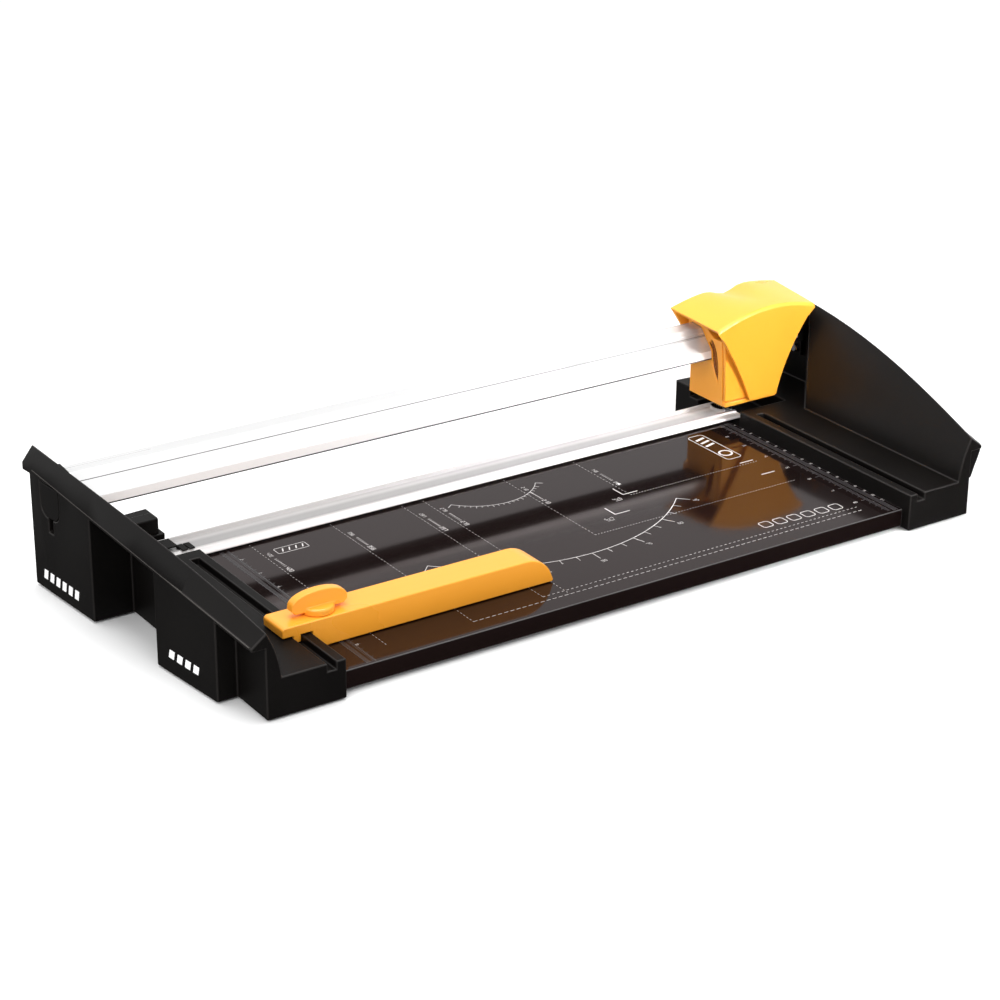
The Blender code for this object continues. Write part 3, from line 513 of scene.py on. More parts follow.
def dress(frame, materials):
    """Gives every CAD node the finish its record row names, and rounds the visible ones."""
    slots = {row["node"]: row["material_slot"] for row in frame["record"]["subparts"]}
    for name, node in frame["nodes"].items():
        node.data.materials.clear()
        node.data.materials.append(materials[slots[name]])
        if name in EDGE_WIDTHS:
            round_edges(node, EDGE_WIDTHS[name], materials.get(LIT_EDGES.get(name)))


# ---------------------------------------------------------------- printing on the table

PRINT_LOW, PRINT_HIGH = 0.01590, 0.01605  # from just inside the table's face to just above it
PRINT_REAR = -0.0330
HAIRLINE, LINE = 0.00022, 0.00030
SHORTEST_BAR = 1e-6
SIDEWAYS = -90.0  # turn of a numeral that is read from the right

CUT_END_X = 0.23165  # the stop that sheets are measured from
SHEET_REACH = {  # sheet length in millimetres, and the front end of its line
    420.0: -0.214,
    355.6: -0.2159,
    297.0: -0.210,
    279.4: -0.2159,
    210.0: -0.148,
    148.0: -0.105,
}
SHEET_DASH = (0.0017, 0.0021, HAIRLINE)  # dash, gap and line width
SHEET_FRONTS = (  # sheet length, offset of its front line, right end, and that line's dash
    (0.148, -0.105, 0.200, (0.0009, 0.0016, 0.00034)),
    (0.210, -0.148, 0.200, (0.0009, 0.0016, 0.00034)),
    (0.297, -0.210, 0.206, (0.0018, 0.0020, LINE)),
    (0.3556, -0.2159, 0.206, (0.0030, 0.0018, LINE)),
)
LABEL_X = 0.0042
LABELS = {"rear": (-0.0545, 0.0026, HAIRLINE), "front": (-0.0820, 0.0030, 0.00036)}
LEGEND_SPAN = (0.0034, 0.0052)  # small ticks between the two labels of a sheet
LEGEND_REAR, LEGEND_PITCH, LEGEND_LEAN, LEGEND_WIDTH = -0.0625, 0.0022, 0.0004, 0.00040
LEGEND_TICKS = 7

PICTURE_SIZES = ((0.07925, -0.1016, "4x6"), (0.05385, -0.1270, "5x7"))
PICTURE_ARMS, PICTURE_WIDTH = (0.0128, 0.0125), 0.00075
PICTURE_DASH, PICTURE_DASH_WIDTH = (0.1865, 0.1986), 0.00085
PICTURE_LABEL, PICTURE_LABEL_HEIGHT = (-0.0082, -0.0040), 0.0028
PICTURE_UNDERLINE, PICTURE_UNDERLINE_DROP = (-0.0110, -0.0054), 0.0070

ARC_CENTER = (0.002, -0.0225)
LARGE_ARC, LARGE_ARC_ENDS, LARGE_ARC_STEPS, LARGE_ARC_WIDTH = 0.149, (45, 135), 60, 0.00050
SMALL_ARC, SMALL_ARC_ENDS, SMALL_ARC_STEPS, SMALL_ARC_WIDTH = 0.0455, (37, 143), 40, 0.00034
TICK_ANGLES, MAJOR_TICK = range(45, 136, 5), 15
MAJOR_TICKS = ((LARGE_ARC, 0.0100, 0.00042), (SMALL_ARC, 0.0035, 0.00028))  # arc, length, width
MINOR_TICKS = ((LARGE_ARC, 0.0060, 0.00032), (SMALL_ARC, 0.0025, 0.00028))
END_TICK = 0.0055
ANGLE_RADIUS, ANGLE_HEIGHT = 0.1632, 0.0026

RIGHT_INCH_X, RIGHT_CM_X, LEFT_INCH_X = 0.2108, 0.2302, -0.2040
ZERO_PLACE = (RIGHT_INCH_X, -0.0555)

FRAME_CORNER_STEPS = 5
TALL_FRAME = (0.1900, -0.0665, 0.0135, 0.0500, 0.0030)  # x, offset, width, depth, corner
RING_CENTER, RING_RADIUS, RING_STEPS = (0.1900, -0.0800), 0.0048, 28
TALL_BARS, TALL_BAR, TALL_BAR_PITCH = 3, ((0.1855, -0.0500), (0.1945, -0.0475)), 0.0062
BLOCKS, BLOCK_START, BLOCK_STEP = 6, (0.1325, -0.1985), (0.0122, -0.0006)
BLOCK_SHAPE = (0.0086, 0.0088, 0.0022)
SMALL_FRAME = (-0.1660, -0.0522, 0.0240, 0.0086, 0.0012)
SMALL_BARS, SMALL_BAR, SMALL_BAR_PITCH = 4, ((-0.1738, -0.0545), (-0.1718, -0.0500)), 0.0052

MILLIMETRES, SIXTEENTHS = range(34, 229), range(22, 144)  # ticks drawn, counted from the cut
MILLIMETRE_TICKS = ((0.2245, 0.2282, 0.00052), (-0.2086, -0.2118, 0.00040))  # start, end, width
SIXTEENTH_TICKS = ((0.2228, 0.2198, 0.00062), (-0.2072, -0.2045, 0.00050))
FIFTH_LONGER, QUARTER_LONGER, INCH_LONGER = 0.0006, 0.0014, 0.0034
RULE_XS, RULE_ENDS, RULE_WIDTH = (0.2248, 0.2282, -0.2115, -0.2053), (-0.0335, -0.2290), 0.0007


class Print:
    """Thin raised bars and strokes, gathered into one mesh on the table's surface."""

    def __init__(self):
        self.mesh_bm = bmesh.new()

    def bar(self, start, end, width=LINE):
        direction = Vector((end[0] - start[0], end[1] - start[1]))
        if direction.length < SHORTEST_BAR:
            return
        side = Vector((-direction.y, direction.x)).normalized() * width / 2
        corners = [
            (start[0] + side.x, start[1] + side.y),
            (start[0] - side.x, start[1] - side.y),
            (end[0] - side.x, end[1] - side.y),
            (end[0] + side.x, end[1] + side.y),
        ]
        low = [self.mesh_bm.verts.new((x, at(y), PRINT_LOW)) for x, y in corners]
        high = [self.mesh_bm.verts.new((x, at(y), PRINT_HIGH)) for x, y in corners]
        self.mesh_bm.faces.new(low[::-1])
        self.mesh_bm.faces.new(high)
        for i in range(4):
            j = (i + 1) % 4
            self.mesh_bm.faces.new((low[i], low[j], high[j], high[i]))

    def dashes(self, start, end, dash, gap, width):
        span = math.dist(start, end)
        step = Vector((end[0] - start[0], end[1] - start[1])) / span
        along = 0.0
        while along < span:
            stop = min(along + dash, span)
            self.bar(tuple(Vector(start) + step * along), tuple(Vector(start) + step * stop), width)
            along += dash + gap

    def stroke(self, points, width):
        for start, end in zip(points, points[1:]):
            self.bar(start, end, width)

    def loop(self, points, width):
        self.stroke([*points, points[0]], width)

    def numeral(self, text, place, height, turn=0.0, width=HAIRLINE):
        """Centres a numeral on a place, turned by a number of degrees about the upright axis."""
        strokes, length = numeral_strokes(text, height)
        cos, sin = math.cos(math.radians(turn)), math.sin(math.radians(turn))

        def put(point):
            x, y = point[0] - length / 2, point[1] - height / 2
            return (place[0] + x * cos - y * sin, place[1] + x * sin + y * cos)

        for start, end in strokes:
            self.bar(put(start), put(end), width)

    def finish(self, name, material):
        make_piece(self.mesh_bm, name, material, "frame")


NUMERAL_WIDTH, NUMERAL_GAP, CROSS_HEIGHT = 0.55, 0.35, 0.6  # shares of a numeral's height
SEGMENTS = {  # strokes of each digit, by the letters in numeral_strokes()
    "0": "abcdef",
    "1": "bc",
    "2": "abged",
    "3": "abgcd",
    "4": "fgbc",
    "5": "afgcd",
    "6": "afgecd",
    "7": "abc",
    "8": "abcdefg",
    "9": "abcdfg",
}


def numeral_strokes(text, height):
    """Strokes of a plain numeral string that starts at the origin, and the string's length."""
    wide, tall, gap = NUMERAL_WIDTH * height, height, NUMERAL_GAP * height
    corners = {
        "a": ((0, tall), (wide, tall)),
        "b": ((wide, tall), (wide, tall / 2)),
        "c": ((wide, tall / 2), (wide, 0)),
        "d": ((wide, 0), (0, 0)),
        "e": ((0, 0), (0, tall / 2)),
        "f": ((0, tall / 2), (0, tall)),
        "g": ((0, tall / 2), (wide, tall / 2)),
    }
    strokes = []
    along = 0.0
    for sign in text:
        if sign == "x":
            strokes.append(((along, 0.0), (along + wide, tall * CROSS_HEIGHT)))
            strokes.append(((along, tall * CROSS_HEIGHT), (along + wide, 0.0)))
        for segment in SEGMENTS.get(sign, ""):
            (x0, y0), (x1, y1) = corners[segment]
            strokes.append(((x0 + along, y0), (x1 + along, y1)))
        along += wide + gap
    return strokes, along - gap


def polar(radius, degrees):
    """A point round the protractor's centre; 90 degrees is straight towards the user."""
    turn = math.radians(degrees)
    return (ARC_CENTER[0] + radius * math.cos(turn), ARC_CENTER[1] - radius * math.sin(turn))


def arc(radius, ends, steps):
    start, end = ends
    return [polar(radius, start + (end - start) * i / steps) for i in range(steps + 1)]


def circle(center, radius, steps):
    turns = [2 * math.pi * i / steps for i in range(steps)]
    return [(center[0] + radius * math.cos(t), center[1] + radius * math.sin(t)) for t in turns]


def rounded_frame(x, y, wide, deep, corner):
    """Outline of a rounded rectangle, centred on x and y."""
    points = []
    for quarter, (sx, sy) in enumerate(((1, 1), (-1, 1), (-1, -1), (1, -1))):
        center = (x + sx * (wide / 2 - corner), y + sy * (deep / 2 - corner))
        for i in range(FRAME_CORNER_STEPS + 1):
            turn = math.pi / 2 * (quarter + i / FRAME_CORNER_STEPS)
            points.append(
                (center[0] + corner * math.cos(turn), center[1] + corner * math.sin(turn))
            )
    return points


def print_label(lines, text, x, row):
    y, height, width = LABELS[row]
    lines.numeral(text, (x + LABEL_X, y), height, SIDEWAYS, width)


def print_sheets(lines):
    """Dashed lines for the standard sheets, and the corners of two small picture sizes."""
    for length, reach in SHEET_REACH.items():
        x = CUT_END_X - length / 1000.0
        lines.dashes((x, PRINT_REAR), (x, reach), *SHEET_DASH)
        label = str(int(round(length)))
        print_label(lines, label, x, "rear")
        near, far = (x + shift for shift in LEGEND_SPAN)
        for k in range(LEGEND_TICKS):
            y = LEGEND_REAR - LEGEND_PITCH * k
            lines.bar((near, y), (far, y - LEGEND_LEAN), LEGEND_WIDTH)
        print_label(lines, label, x, "front")
    for length, y, end, dash in SHEET_FRONTS:
        lines.dashes((CUT_END_X - length, y), (end, y), *dash)
    for x, y, label in PICTURE_SIZES:
        lines.stroke(((x, y + PICTURE_ARMS[1]), (x, y), (x + PICTURE_ARMS[0], y)), PICTURE_WIDTH)
        lines.bar((PICTURE_DASH[0], y), (PICTURE_DASH[1], y), PICTURE_DASH_WIDTH)
        lines.numeral(label, (x + PICTURE_LABEL[0], y + PICTURE_LABEL[1]), PICTURE_LABEL_HEIGHT)
        near, far = (x + shift for shift in PICTURE_UNDERLINE)
        lines.bar((near, y - PICTURE_UNDERLINE_DROP), (far, y - PICTURE_UNDERLINE_DROP))


def print_protractor(lines):
    """Two arcs with a tick every 5 degrees, longer and numbered every 15."""
    lines.stroke(arc(LARGE_ARC, LARGE_ARC_ENDS, LARGE_ARC_STEPS), LARGE_ARC_WIDTH)
    lines.stroke(arc(SMALL_ARC, SMALL_ARC_ENDS, SMALL_ARC_STEPS), SMALL_ARC_WIDTH)
    for degrees in TICK_ANGLES:
        major = degrees % MAJOR_TICK == 0
        for radius, length, width in MAJOR_TICKS if major else MINOR_TICKS:
            lines.bar(polar(radius, degrees), polar(radius + length, degrees), width)
        if major:
            label = str(degrees if degrees <= 90 else 180 - degrees)
            lines.numeral(label, polar(ANGLE_RADIUS, degrees), ANGLE_HEIGHT)
    for degrees in SMALL_ARC_ENDS:
        start, end = polar(SMALL_ARC, degrees), polar(SMALL_ARC + END_TICK, degrees)
        lines.bar(start, end, SMALL_ARC_WIDTH)


def print_column(lines, x, numbers, pitch, height, width=HAIRLINE):
    """A column of numerals beside a scale."""
    for number in numbers:
        lines.numeral(str(number), (x, -pitch * number), height, SIDEWAYS, width)


def print_scale_numerals(lines):
    """The numbers of the inch and centimetre scales."""
    print_column(lines, RIGHT_INCH_X, range(3, 9), INCH, height=0.0026)
    lines.numeral("0", ZERO_PLACE, height=0.0024, turn=SIDEWAYS)
    print_column(lines, RIGHT_CM_X, range(4, 22), 0.010, height=0.0018, width=0.00028)
    print_column(lines, LEFT_INCH_X, range(2, 9), INCH, height=0.0022)


def print_slanted_bars(seal, count, bar, step, width):
    (x0, y0), (x1, y1) = bar
    for k in range(count):
        dx, dy = step[0] * k, step[1] * k
        seal.bar((x0 + dx, y0 + dy), (x1 + dx, y1 + dy), width)


def print_seals(seal):
    """Plain figures: bars and a ring in a frame, a row of open blocks, and a small barred frame."""
    seal.loop(rounded_frame(*TALL_FRAME), width=0.0006)
    seal.loop(circle(RING_CENTER, RING_RADIUS, RING_STEPS), width=0.0016)
    print_slanted_bars(seal, TALL_BARS, TALL_BAR, (0.0, -TALL_BAR_PITCH), width=0.0022)
    for k in range(BLOCKS):
        x, y = (start + step * k for start, step in zip(BLOCK_START, BLOCK_STEP))
        seal.loop(rounded_frame(x, y, *BLOCK_SHAPE), width=0.00055)
    seal.loop(rounded_frame(*SMALL_FRAME), width=0.0004)
    print_slanted_bars(seal, SMALL_BARS, SMALL_BAR, (SMALL_BAR_PITCH, 0.0), width=0.0009)


def print_ticks(scales, y, rows, longer):
    """One tick for each row, lengthened at its far end."""
    for start, end, width in rows:
        scales.bar((start, y), (end + math.copysign(longer, end - start), y), width)


def print_scales(scales):
    """Millimetre and sixteenth-inch ticks down both sides of the table, between long rules."""
    for millimetre in MILLIMETRES:
        longer = FIFTH_LONGER if millimetre % 5 == 0 else 0.0
        print_ticks(scales, -millimetre / 1000.0, MILLIMETRE_TICKS, longer)
    for sixteenth in SIXTEENTHS:
        longer = 0.0
        if sixteenth % 16 == 0:
            longer = INCH_LONGER
        elif sixteenth % 4 == 0:
            longer = QUARTER_LONGER
        print_ticks(scales, -INCH * sixteenth / 16.0, SIXTEENTH_TICKS, longer)
    for x in RULE_XS:
        scales.bar((x, RULE_ENDS[0]), (x, RULE_ENDS[1]), RULE_WIDTH)


def print_table(materials):
    marks = Print()
    print_sheets(marks)
    print_protractor(marks)
    print_scale_numerals(marks)
    marks.finish("table_print_marks", materials["print_white"])
    seal = Print()
    print_seals(seal)
    seal.finish("table_print_seal", materials["print_white"])
    scales = Print()
    print_scales(scales)
    scales.finish("table_print_scales", materials["print_grey"])


# ---------------------------------------------------------------- rail and carriage

RAIL_HALF = 0.3104
RAIL_SECTION = (  # the guide rail in (offset, z)
    (-0.0198, 0.0653),
    (-0.0188, 0.0720),
    (-0.0058, 0.0870),
    (0.0058, 0.0880),
    (0.0058, 0.0653),
)
RAIL_FRONT, RAIL_SLOPE = RAIL_SECTION[0:2], RAIL_SECTION[1:3]
RAIL_LINES = (  # name, face, start and end across that face, finish
    ("rail_score_line", RAIL_SLOPE, 0.640, 0.668, "score_line_and_edge_highlight"),
    ("rail_foot_line", RAIL_FRONT, 0.010, 0.150, "foot_line_and_rim_highlight"),
)
LINE_PROUD, LINE_SUNK = 0.00006, 0.0001

COLLAR_REACH, COLLAR_GAP = 0.00176, 0.00045  # its outer and inner edge, out from the rail
COLLAR_SPAN = (0.00005, 0.0008)  # depth into the carriage

PAD_SECTION = (
    (-0.0383, 0.0362),
    (-0.0358, 0.0362),
    (-0.0345, 0.0600),
    (-0.0325, 0.0820),
    (-0.0352, 0.0820),
    (-0.0372, 0.0600),
)
PAD_INSET = 0.0004
FOOT_DEPTHS, FOOT_TOP, FOOT_CLEARANCE = (-0.0386, -0.0355), 0.0350, 0.0002
GRIP_FLOOR_SPAN = (0.0009, 0.0014)  # depth into the carriage's end faces


def grown(outline, distance):
    """A convex outline in (y, z), grown outwards by a distance."""
    count = len(outline)
    middle = [sum(point[k] for point in outline) / count for k in (0, 1)]
    lines = []
    for i in range(count):
        (ay, az), (by, bz) = outline[i], outline[(i + 1) % count]
        normal = Vector((bz - az, ay - by)).normalized()
        if normal.x * (ay - middle[0]) + normal.y * (az - middle[1]) < 0:
            normal = -normal
        lines.append((normal, normal.x * ay + normal.y * az + distance))
    points = []
    for i in range(count):
        (n1, c1), (n2, c2) = lines[i - 1], lines[i]
        det = n1.x * n2.y - n1.y * n2.x
        points.append(((c1 * n2.y - c2 * n1.y) / det, (n1.x * c2 - n2.x * c1) / det))
    return points


def rail_band(face, start, end):
    """Cross-section of a thin band on one face of the rail, between two shares of its width."""
    (ay, az), (by, bz) = face
    normal = Vector((az - bz, by - ay)).normalized()
    spots = [(ay + (by - ay) * t, az + (bz - az) * t) for t in (start, end)]
    high = [(y + normal.x * LINE_PROUD, z + normal.y * LINE_PROUD) for y, z in spots]
    low = [(y - normal.x * LINE_SUNK, z - normal.y * LINE_SUNK) for y, z in spots]
    return (low[0], low[1], high[1], high[0])


def add_rail_lines(materials):
    """The scored line along the rail's slope and the dark foot of its front."""
    for name, face, start, end, finish in RAIL_LINES:
        line = Solid().along_x(rail_band(face, start, end), -RAIL_HALF, RAIL_HALF)
        line.finish(name, materials[finish], "frame")


def add_bore_collars(materials):
    """Thin lips of the carriage around the rail, in front of the glide bushes."""
    low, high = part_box("carriage_body")
    section = [(at(y), z) for y, z in RAIL_SECTION]
    outer, inner = grown(section, COLLAR_REACH), grown(section, COLLAR_GAP)
    near, far = COLLAR_SPAN
    collars = Solid()
    collars.ring(outer, inner, low[0] + near, low[0] + far)
    collars.ring(outer, inner, high[0] - far, high[0] - near)
    collars.finish("carriage_bore_collars", materials["yellow_plastic"], "carriage")


def add_carriage_trim(materials):
    """The pad and foot on the carriage's front, and brown floors of painted shade in its finger
    slots.
    """
    low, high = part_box("carriage_body")
    front, rear = FOOT_DEPTHS
    bottom = low[2] + FOOT_CLEARANCE
    foot_section = ((front, bottom), (rear, bottom), (rear, FOOT_TOP), (front, FOOT_TOP))
    pad = Solid()
    for section in (PAD_SECTION, foot_section):
        pad.along_x(section, low[0] + PAD_INSET, high[0] - PAD_INSET)
    pad.finish("carriage_front_pad", materials["yellow_plastic"], "carriage", bevel=0.0005)
    # brown lenses in the slots are painted shade
    shade_floors = Solid()
    for x, inward in ((low[0], 1), (high[0], -1)):
        start, end = (x + inward * depth for depth in GRIP_FLOOR_SPAN)
        shade_floors.along_x(LEAF_FRONT + LEAF_SHALLOW, start, end)
    shade_floors.finish("carriage_grip_painted_shade", materials["painted_shade_brown"], "carriage")


# ---------------------------------------------------------------- springs

PRESS_TRAVEL, PRESS_WIRE, PRESS_TURNS = 0.0035, 0.0005, 6
STRIP_TRAVEL, STRIP_WIRE, STRIP_TURNS = 0.0010, 0.0004, 5
SPRINGS = (
    ("left_press_spring", "carriage", "head_press", PRESS_TRAVEL, PRESS_WIRE, PRESS_TURNS),
    ("right_press_spring", "carriage", "head_press", PRESS_TRAVEL, PRESS_WIRE, PRESS_TURNS),
    ("left_strip_spring", "frame", "strip_press", STRIP_TRAVEL, STRIP_WIRE, STRIP_TURNS),
    ("right_strip_spring", "frame", "strip_press", STRIP_TRAVEL, STRIP_WIRE, STRIP_TURNS),
)
TURN_STEPS, WIRE_STEPS = 28, 10


def coil_sections(low, high, wire, turns):
    """Rings of points round the wire of a coil that fills a box, from its foot upwards."""
    center = [(low[k] + high[k]) / 2 for k in (0, 1)]
    radius = (high[0] - low[0]) / 2 - wire
    rise = high[2] - low[2] - 2 * wire
    for i in range(turns * TURN_STEPS + 1):
        turn = 2 * math.pi * i / TURN_STEPS
        height = low[2] + wire + rise * i / (turns * TURN_STEPS)
        section = []
        for k in range(WIRE_STEPS):
            phase = 2 * math.pi * k / WIRE_STEPS
            reach = radius + wire * math.cos(phase)
            x, y = center[0] + reach * math.cos(turn), center[1] + reach * math.sin(turn)
            section.append((x, y, height + wire * math.sin(phase)))
        yield section


def add_springs(materials):
    """Wire coils that stand for the CAD springs."""
    for node, body, joint, travel, wire, turns in SPRINGS:
        low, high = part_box(node)
        tool = Solid().loft(list(coil_sections(low, high, wire, turns)))
        coil = tool.finish(node.replace("spring", "coil"), materials["steel"], body)
        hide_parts(node)
        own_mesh(coil)


# ---------------------------------------------------------------- casings

CASING_REAR, CASING_FRONT, CASING_DEPTH = 0.030, -0.2375, 0.2675
OUTER_X, OUTER_TAPER, OUTER_BOW = 0.3235, 0.0175, 0.0085
RIM_TOP, RIM_DROP, RIM_CREST, RIM_RUN = 0.0974, 0.0359, 0.028, 0.262
FLARE = (0.008, 0.031, -0.028)  # how far the rim's outer edge hangs, by powers of the way back

# the rim lines are painted highlights along the rim's outer edge
RIM_LINE_ENDS, RIM_LINE_STEPS = (-0.2350, 0.0170), 40
RIM_LINE_SECTION = (
    (-0.0006, 0.00025),
    (0.00012, 0.0001),
    (0.00012, -0.00045),
    (-0.0006, -0.00045),
)

GUSSET_DEPTHS = (-0.2371, -0.2255)
GUSSET_SECTION = (  # in (x, z)
    (0.2870, 0.0520),
    (0.2973, 0.0514),
    (0.2968, 0.0480),
    (0.2948, 0.0425),
    (0.2925, 0.0370),
    (0.2897, 0.0290),
    (0.2872, 0.0290),
)

BADGES = (  # name, rear end, lower edge, blocks, width and height of a block
    ("rear_pod_badge", 0.0090, 0.0095, 6, 0.0048, 0.0068),
    ("front_pod_badge", -0.1470, 0.0122, 4, 0.0056, 0.0058),
)
BADGE_GAP, BADGE_LEAN = 0.0034, 0.0014
BADGE_SPAN = (-0.0002, 0.00015)  # from just inside the pod's wall to just outside it

BLOCK_ENDS = (-0.2745, -0.2368)
BLOCK_SECTION = ((0.0065, 0.0212), (0.0184, 0.0212), (0.0184, 0.0332), (0.0065, 0.0332))


def outer_x(y):
    """Bowed outer side of a casing in plan, at an offset."""
    t = (CASING_REAR - y) / CASING_DEPTH
    return OUTER_X - OUTER_TAPER * t - OUTER_BOW * t * t


def rim_edge_z(y):
    """Height of the rim's outer edge at an offset."""
    inner = RIM_TOP - RIM_DROP * ((RIM_CREST - y) / RIM_RUN) ** 2
    t = (y - CASING_FRONT) / CASING_DEPTH
    return inner - (FLARE[0] + FLARE[1] * t + FLARE[2] * t * t)


def add_left_block(materials):
    """The low block on the left casing behind the end of the strip."""
    block = Solid().along_x(BLOCK_SECTION, *BLOCK_ENDS)
    block.finish("left_strip_block", materials["black_plastic"], "frame", bevel=0.0008)


def add_rim_lines(materials):
    """A fine grey line where the rim meets the outer side of each casing: a painted highlight on
    that edge.
    """
    start, end = RIM_LINE_ENDS
    for side, label in ((-1, "left"), (1, "right")):
        sections = []
        for i in range(RIM_LINE_STEPS + 1):
            y = start + (end - start) * i / RIM_LINE_STEPS
            x, z = outer_x(y), rim_edge_z(y)
            sections.append([(side * (x + a), at(y), z + b) for a, b in RIM_LINE_SECTION])
        line = Solid().loft(sections)
        line.finish(f"{label}_rim_highlight_line", materials["foot_line_and_rim_highlight"], "frame")


def add_rim_gusset(materials):
    """The rounded end of the right casing's rim, carried down onto the wall below it."""
    gusset = Solid().loft([[(x, at(y), z) for x, z in GUSSET_SECTION] for y in GUSSET_DEPTHS])
    gusset.finish("right_rim_gusset", materials["black_plastic"], "frame", bevel=0.0012)


def add_pod_badges(materials):
    """Rows of plain slanted blocks on the left casing's two pods."""
    for name, start, low, count, wide, tall in BADGES:
        badge = Solid()
        for i in range(count):
            rear = start - i * (wide + BADGE_GAP)
            outline = (
                (rear, low),
                (rear - BADGE_LEAN, low + tall),
                (rear - wide - BADGE_LEAN, low + tall),
                (rear - wide, low),
            )
            sections = []
            for proud in BADGE_SPAN:
                sections.append([(-(outer_x(y) + proud), at(y), z) for y, z in outline])
            badge.loft(sections)
        badge.finish(name, materials["badge_white"], "frame")


# ---------------------------------------------------------------- ends of the strip

END_CENTER_Y = -0.0131
END_LOW, END_HIGH = 0.01915, 0.0217
CLIP_GAP = 0.0003
OUTER_OVAL = (0.0056, 0.0081)  # reach along X and half depth
INNER_OVAL = (0.0045, 0.0070)
BRUSH_OVAL, BRUSH_FACE = (0.0043, 0.0068), 0.0214
OVAL_STEPS = 12

TUFTS, TUFT_FRONT, TUFT_PITCH, TUFT_WIDTH = 5, -0.0175, 0.0024, 0.0011
TUFT_FRONT_REACH, TUFT_REAR_REACH, TUFT_INSET = 0.0036, 0.0030, 0.0002
TUFT_LOW, TUFT_HIGH = 0.0213, 0.0222

STOP_SECTION = (
    (-0.0262, 0.0206),
    (-0.0216, 0.0206),
    (-0.0216, 0.0192),
    (-0.0155, 0.0192),
    (-0.0155, 0.0210),
    (-0.0165, 0.0217),
    (-0.0262, 0.0217),
)
STOP_SPANS = ((0.0, 0.0046), (0.0054, 0.0098))  # its two halves, either side of the slit


def half_oval(center, reach, half):
    """Left half of an oval in plan, from its rear end round to its front end."""
    turns = [math.pi / 2 + math.pi * i / OVAL_STEPS for i in range(OVAL_STEPS + 1)]
    return [(center[0] + reach * math.cos(t), center[1] + half * math.sin(t)) for t in turns]


def add_right_strip_end(materials):
    """The rounded stop at the strip's right end, with a ribbed brush in it."""
    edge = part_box("right_strip_clip")[0][0] - CLIP_GAP
    center = (edge, END_CENTER_Y)
    outer, inner = half_oval(center, *OUTER_OVAL), half_oval(center, *INNER_OVAL)
    rim = Solid().upright([*outer, *inner[::-1]], END_LOW, END_HIGH)
    rim.finish("strip_end_rim", materials["clear_plastic"], "guard", bevel=0.0002)
    brush = Solid().upright(half_oval(center, *BRUSH_OVAL), END_LOW, BRUSH_FACE)
    for k in range(TUFTS):
        front = TUFT_FRONT + TUFT_PITCH * k
        rear = front + TUFT_WIDTH
        tuft = (
            (edge - TUFT_FRONT_REACH, front),
            (edge - TUFT_INSET, front),
            (edge - TUFT_INSET, rear),
            (edge - TUFT_REAR_REACH, rear),
        )
        brush.upright(tuft, TUFT_LOW, TUFT_HIGH)
    brush.finish("strip_end_brush", materials["black_plastic"], "guard", bevel=0.0002)


def add_left_strip_end(materials):
    """The slit stop at the strip's left end."""
    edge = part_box("left_strip_clip")[1][0] + CLIP_GAP
    stop = Solid()
    for start, end in STOP_SPANS:
        stop.along_x(STOP_SECTION, edge + start, edge + end)
    stop.finish("strip_end_stop", materials["black_plastic"], "guard", bevel=0.0004)


# ---------------------------------------------------------------- stage

FLOOR_SIZE, FLOOR_Z = 40.0, -0.0002

FADE_SPAN, FADE_STRENGTHS = (-0.8, 0.5), (0.55, 1.0)  # studio wall, from the user's side back
LOW_SPAN, LOW_STRENGTHS = (-0.38, -0.08), (0.08, 1.0)  # and from below the floor up

LAMPS = (  # name, place, aim, width and height, watts
    ("top", (0.0, 0.2, 2.0), (0.0, 0.0, 0.0), (1.6, 1.2), 28.0),
    ("front", (0.5, -1.9, 1.7), (0.0, 0.0, 0.05), (2.4, 1.6), 23.0),
    ("front_left", (-1.6, -0.9, 1.2), (0.0, 0.0, 0.05), (1.2, 0.9), 14.0),
    ("head_light", (0.62, -1.15, 0.75), (0.257, 0.06, 0.075), (0.45, 0.45), 0.72),
)
OFF_THE_TABLE = ("front", "front_left", "head_light")
HEAD_LIGHT_SPREAD = math.radians(16.0)

CAMERA_PLACE = (-0.9526, -1.3793, 0.7611)
CAMERA_AIM = (0.0200, 0.0692, 0.0)
CAMERA_LENS = 93.8
CAMERA_SENSOR = 36.0
CAMERA_ROLL = math.radians(0.403)
CAMERA_REACH = 20.0


def make_floor():
    bpy.ops.mesh.primitive_plane_add(size=FLOOR_SIZE, location=(0.0, 0.0, FLOOR_Z))
    floor = bpy.context.object
    floor.name = "floor"
    shader = Shader("floor_paper")
    shader.feed("Base Color", shader.mix(shader.noise(3.0), grey(0.90), grey(0.93)))
    shader.set(Roughness=0.9)
    floor.data.materials.append(shader.material)
    floor.visible_glossy = False


def look_at(place, aim):
    """Rotation that points a lamp or camera from a place to an aim."""
    return (Vector(aim) - Vector(place)).to_track_quat("-Z", "Y")


def area_lamp(name, place, aim, size, power):
    data = bpy.data.lights.new(name, "AREA")
    data.shape = "RECTANGLE"
    data.size, data.size_y = size
    data.energy = power
    lamp = bpy.data.objects.new(name, data)
    lamp.location = place
    lamp.rotation_euler = look_at(place, aim).to_euler()
    bpy.context.scene.collection.objects.link(lamp)
    return lamp


def leave_out(lamp, obj):
    """Keeps a lamp from being mirrored in an object."""
    others = bpy.data.collections.new(f"{lamp.name}_leaves_out")
    others.objects.link(obj)
    others.collection_objects[0].light_linking.link_state = "EXCLUDE"
    lamp.light_linking.receiver_collection = others


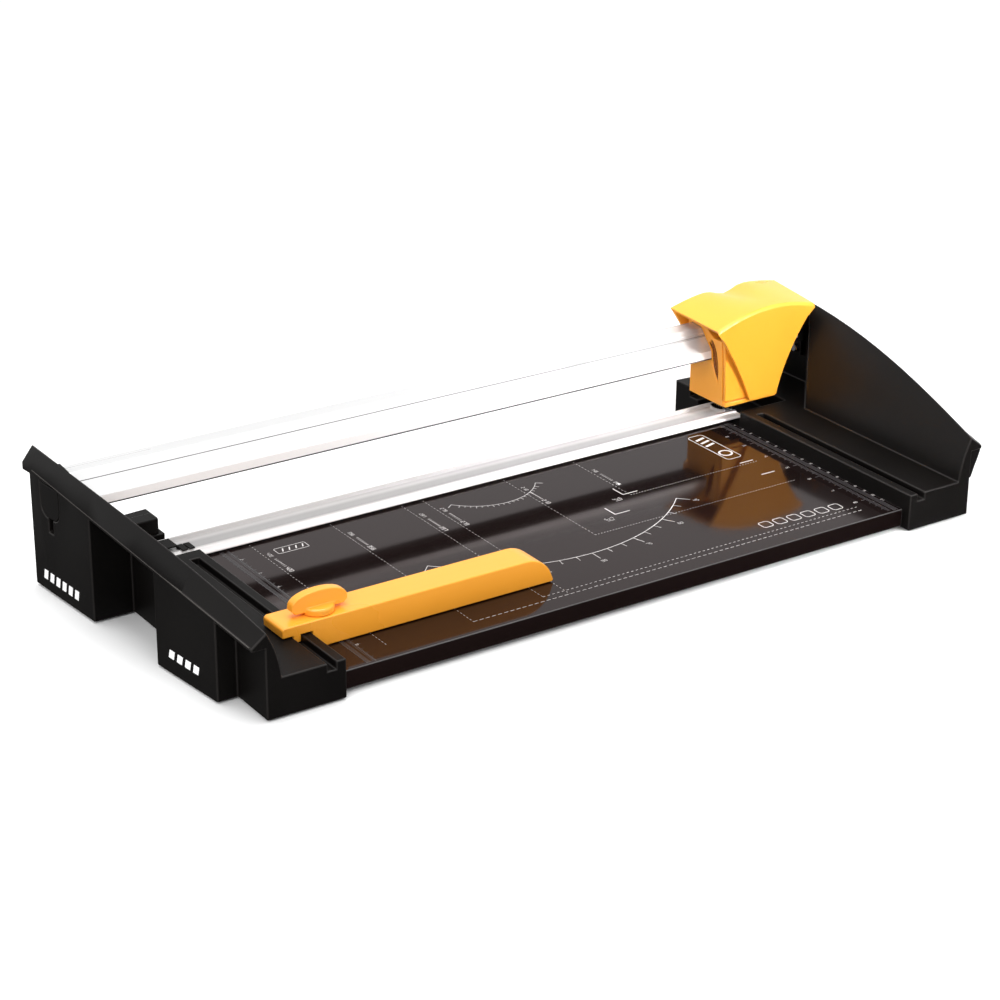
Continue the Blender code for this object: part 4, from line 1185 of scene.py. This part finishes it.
def make_studio_wall():
    """A white surround, dimmer on the user's side and below the floor."""
    world = bpy.data.worlds.new("studio")
    bpy.context.scene.world = world
    world.use_nodes = True
    tree = world.node_tree
    direction = tree.nodes.new("ShaderNodeTexCoord").outputs["Generated"]
    fade = map_range(tree, axis_of(tree, direction, "Y"), FADE_SPAN, FADE_STRENGTHS, True)
    below = map_range(tree, axis_of(tree, direction, "Z"), LOW_SPAN, LOW_STRENGTHS, True)
    strength = tree.nodes.new("ShaderNodeMath")
    strength.operation = "MULTIPLY"
    tree.links.new(fade, strength.inputs[0])
    tree.links.new(below, strength.inputs[1])
    background = tree.nodes["Background"]
    background.inputs["Color"].default_value = (1.0, 1.0, 1.0, 1.0)
    tree.links.new(strength.outputs["Value"], background.inputs["Strength"])


def light_scene(table):
    bpy.context.scene.view_settings.view_transform = "Standard"
    make_studio_wall()
    lamps = {row[0]: area_lamp(*row) for row in LAMPS}
    lamps["head_light"].data.spread = HEAD_LIGHT_SPREAD
    for name in OFF_THE_TABLE:
        leave_out(lamps[name], table)


def make_camera():
    data = bpy.data.cameras.new("main_camera")
    data.lens = CAMERA_LENS
    data.sensor_width = CAMERA_SENSOR
    data.clip_end = CAMERA_REACH
    camera = bpy.data.objects.new("main_camera", data)
    turn = look_at(CAMERA_PLACE, CAMERA_AIM).to_matrix().to_4x4()
    roll = Matrix.Rotation(CAMERA_ROLL, 4, "Z")
    camera.matrix_world = Matrix.Translation(CAMERA_PLACE) @ turn @ roll
    bpy.context.scene.collection.objects.link(camera)
    bpy.context.scene.camera = camera


def main():
    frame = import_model()
    materials = make_materials()
    cut_finger_slots(frame["nodes"]["carriage_body"])
    dress(frame, materials)
    print_table(materials)
    add_rail_lines(materials)
    add_bore_collars(materials)
    add_right_strip_end(materials)
    add_left_strip_end(materials)
    add_carriage_trim(materials)
    add_left_block(materials)
    add_springs(materials)
    add_rim_lines(materials)
    add_rim_gusset(materials)
    add_pod_badges(materials)
    make_floor()
    light_scene(frame["nodes"]["base_plate"])
    make_camera()


main()
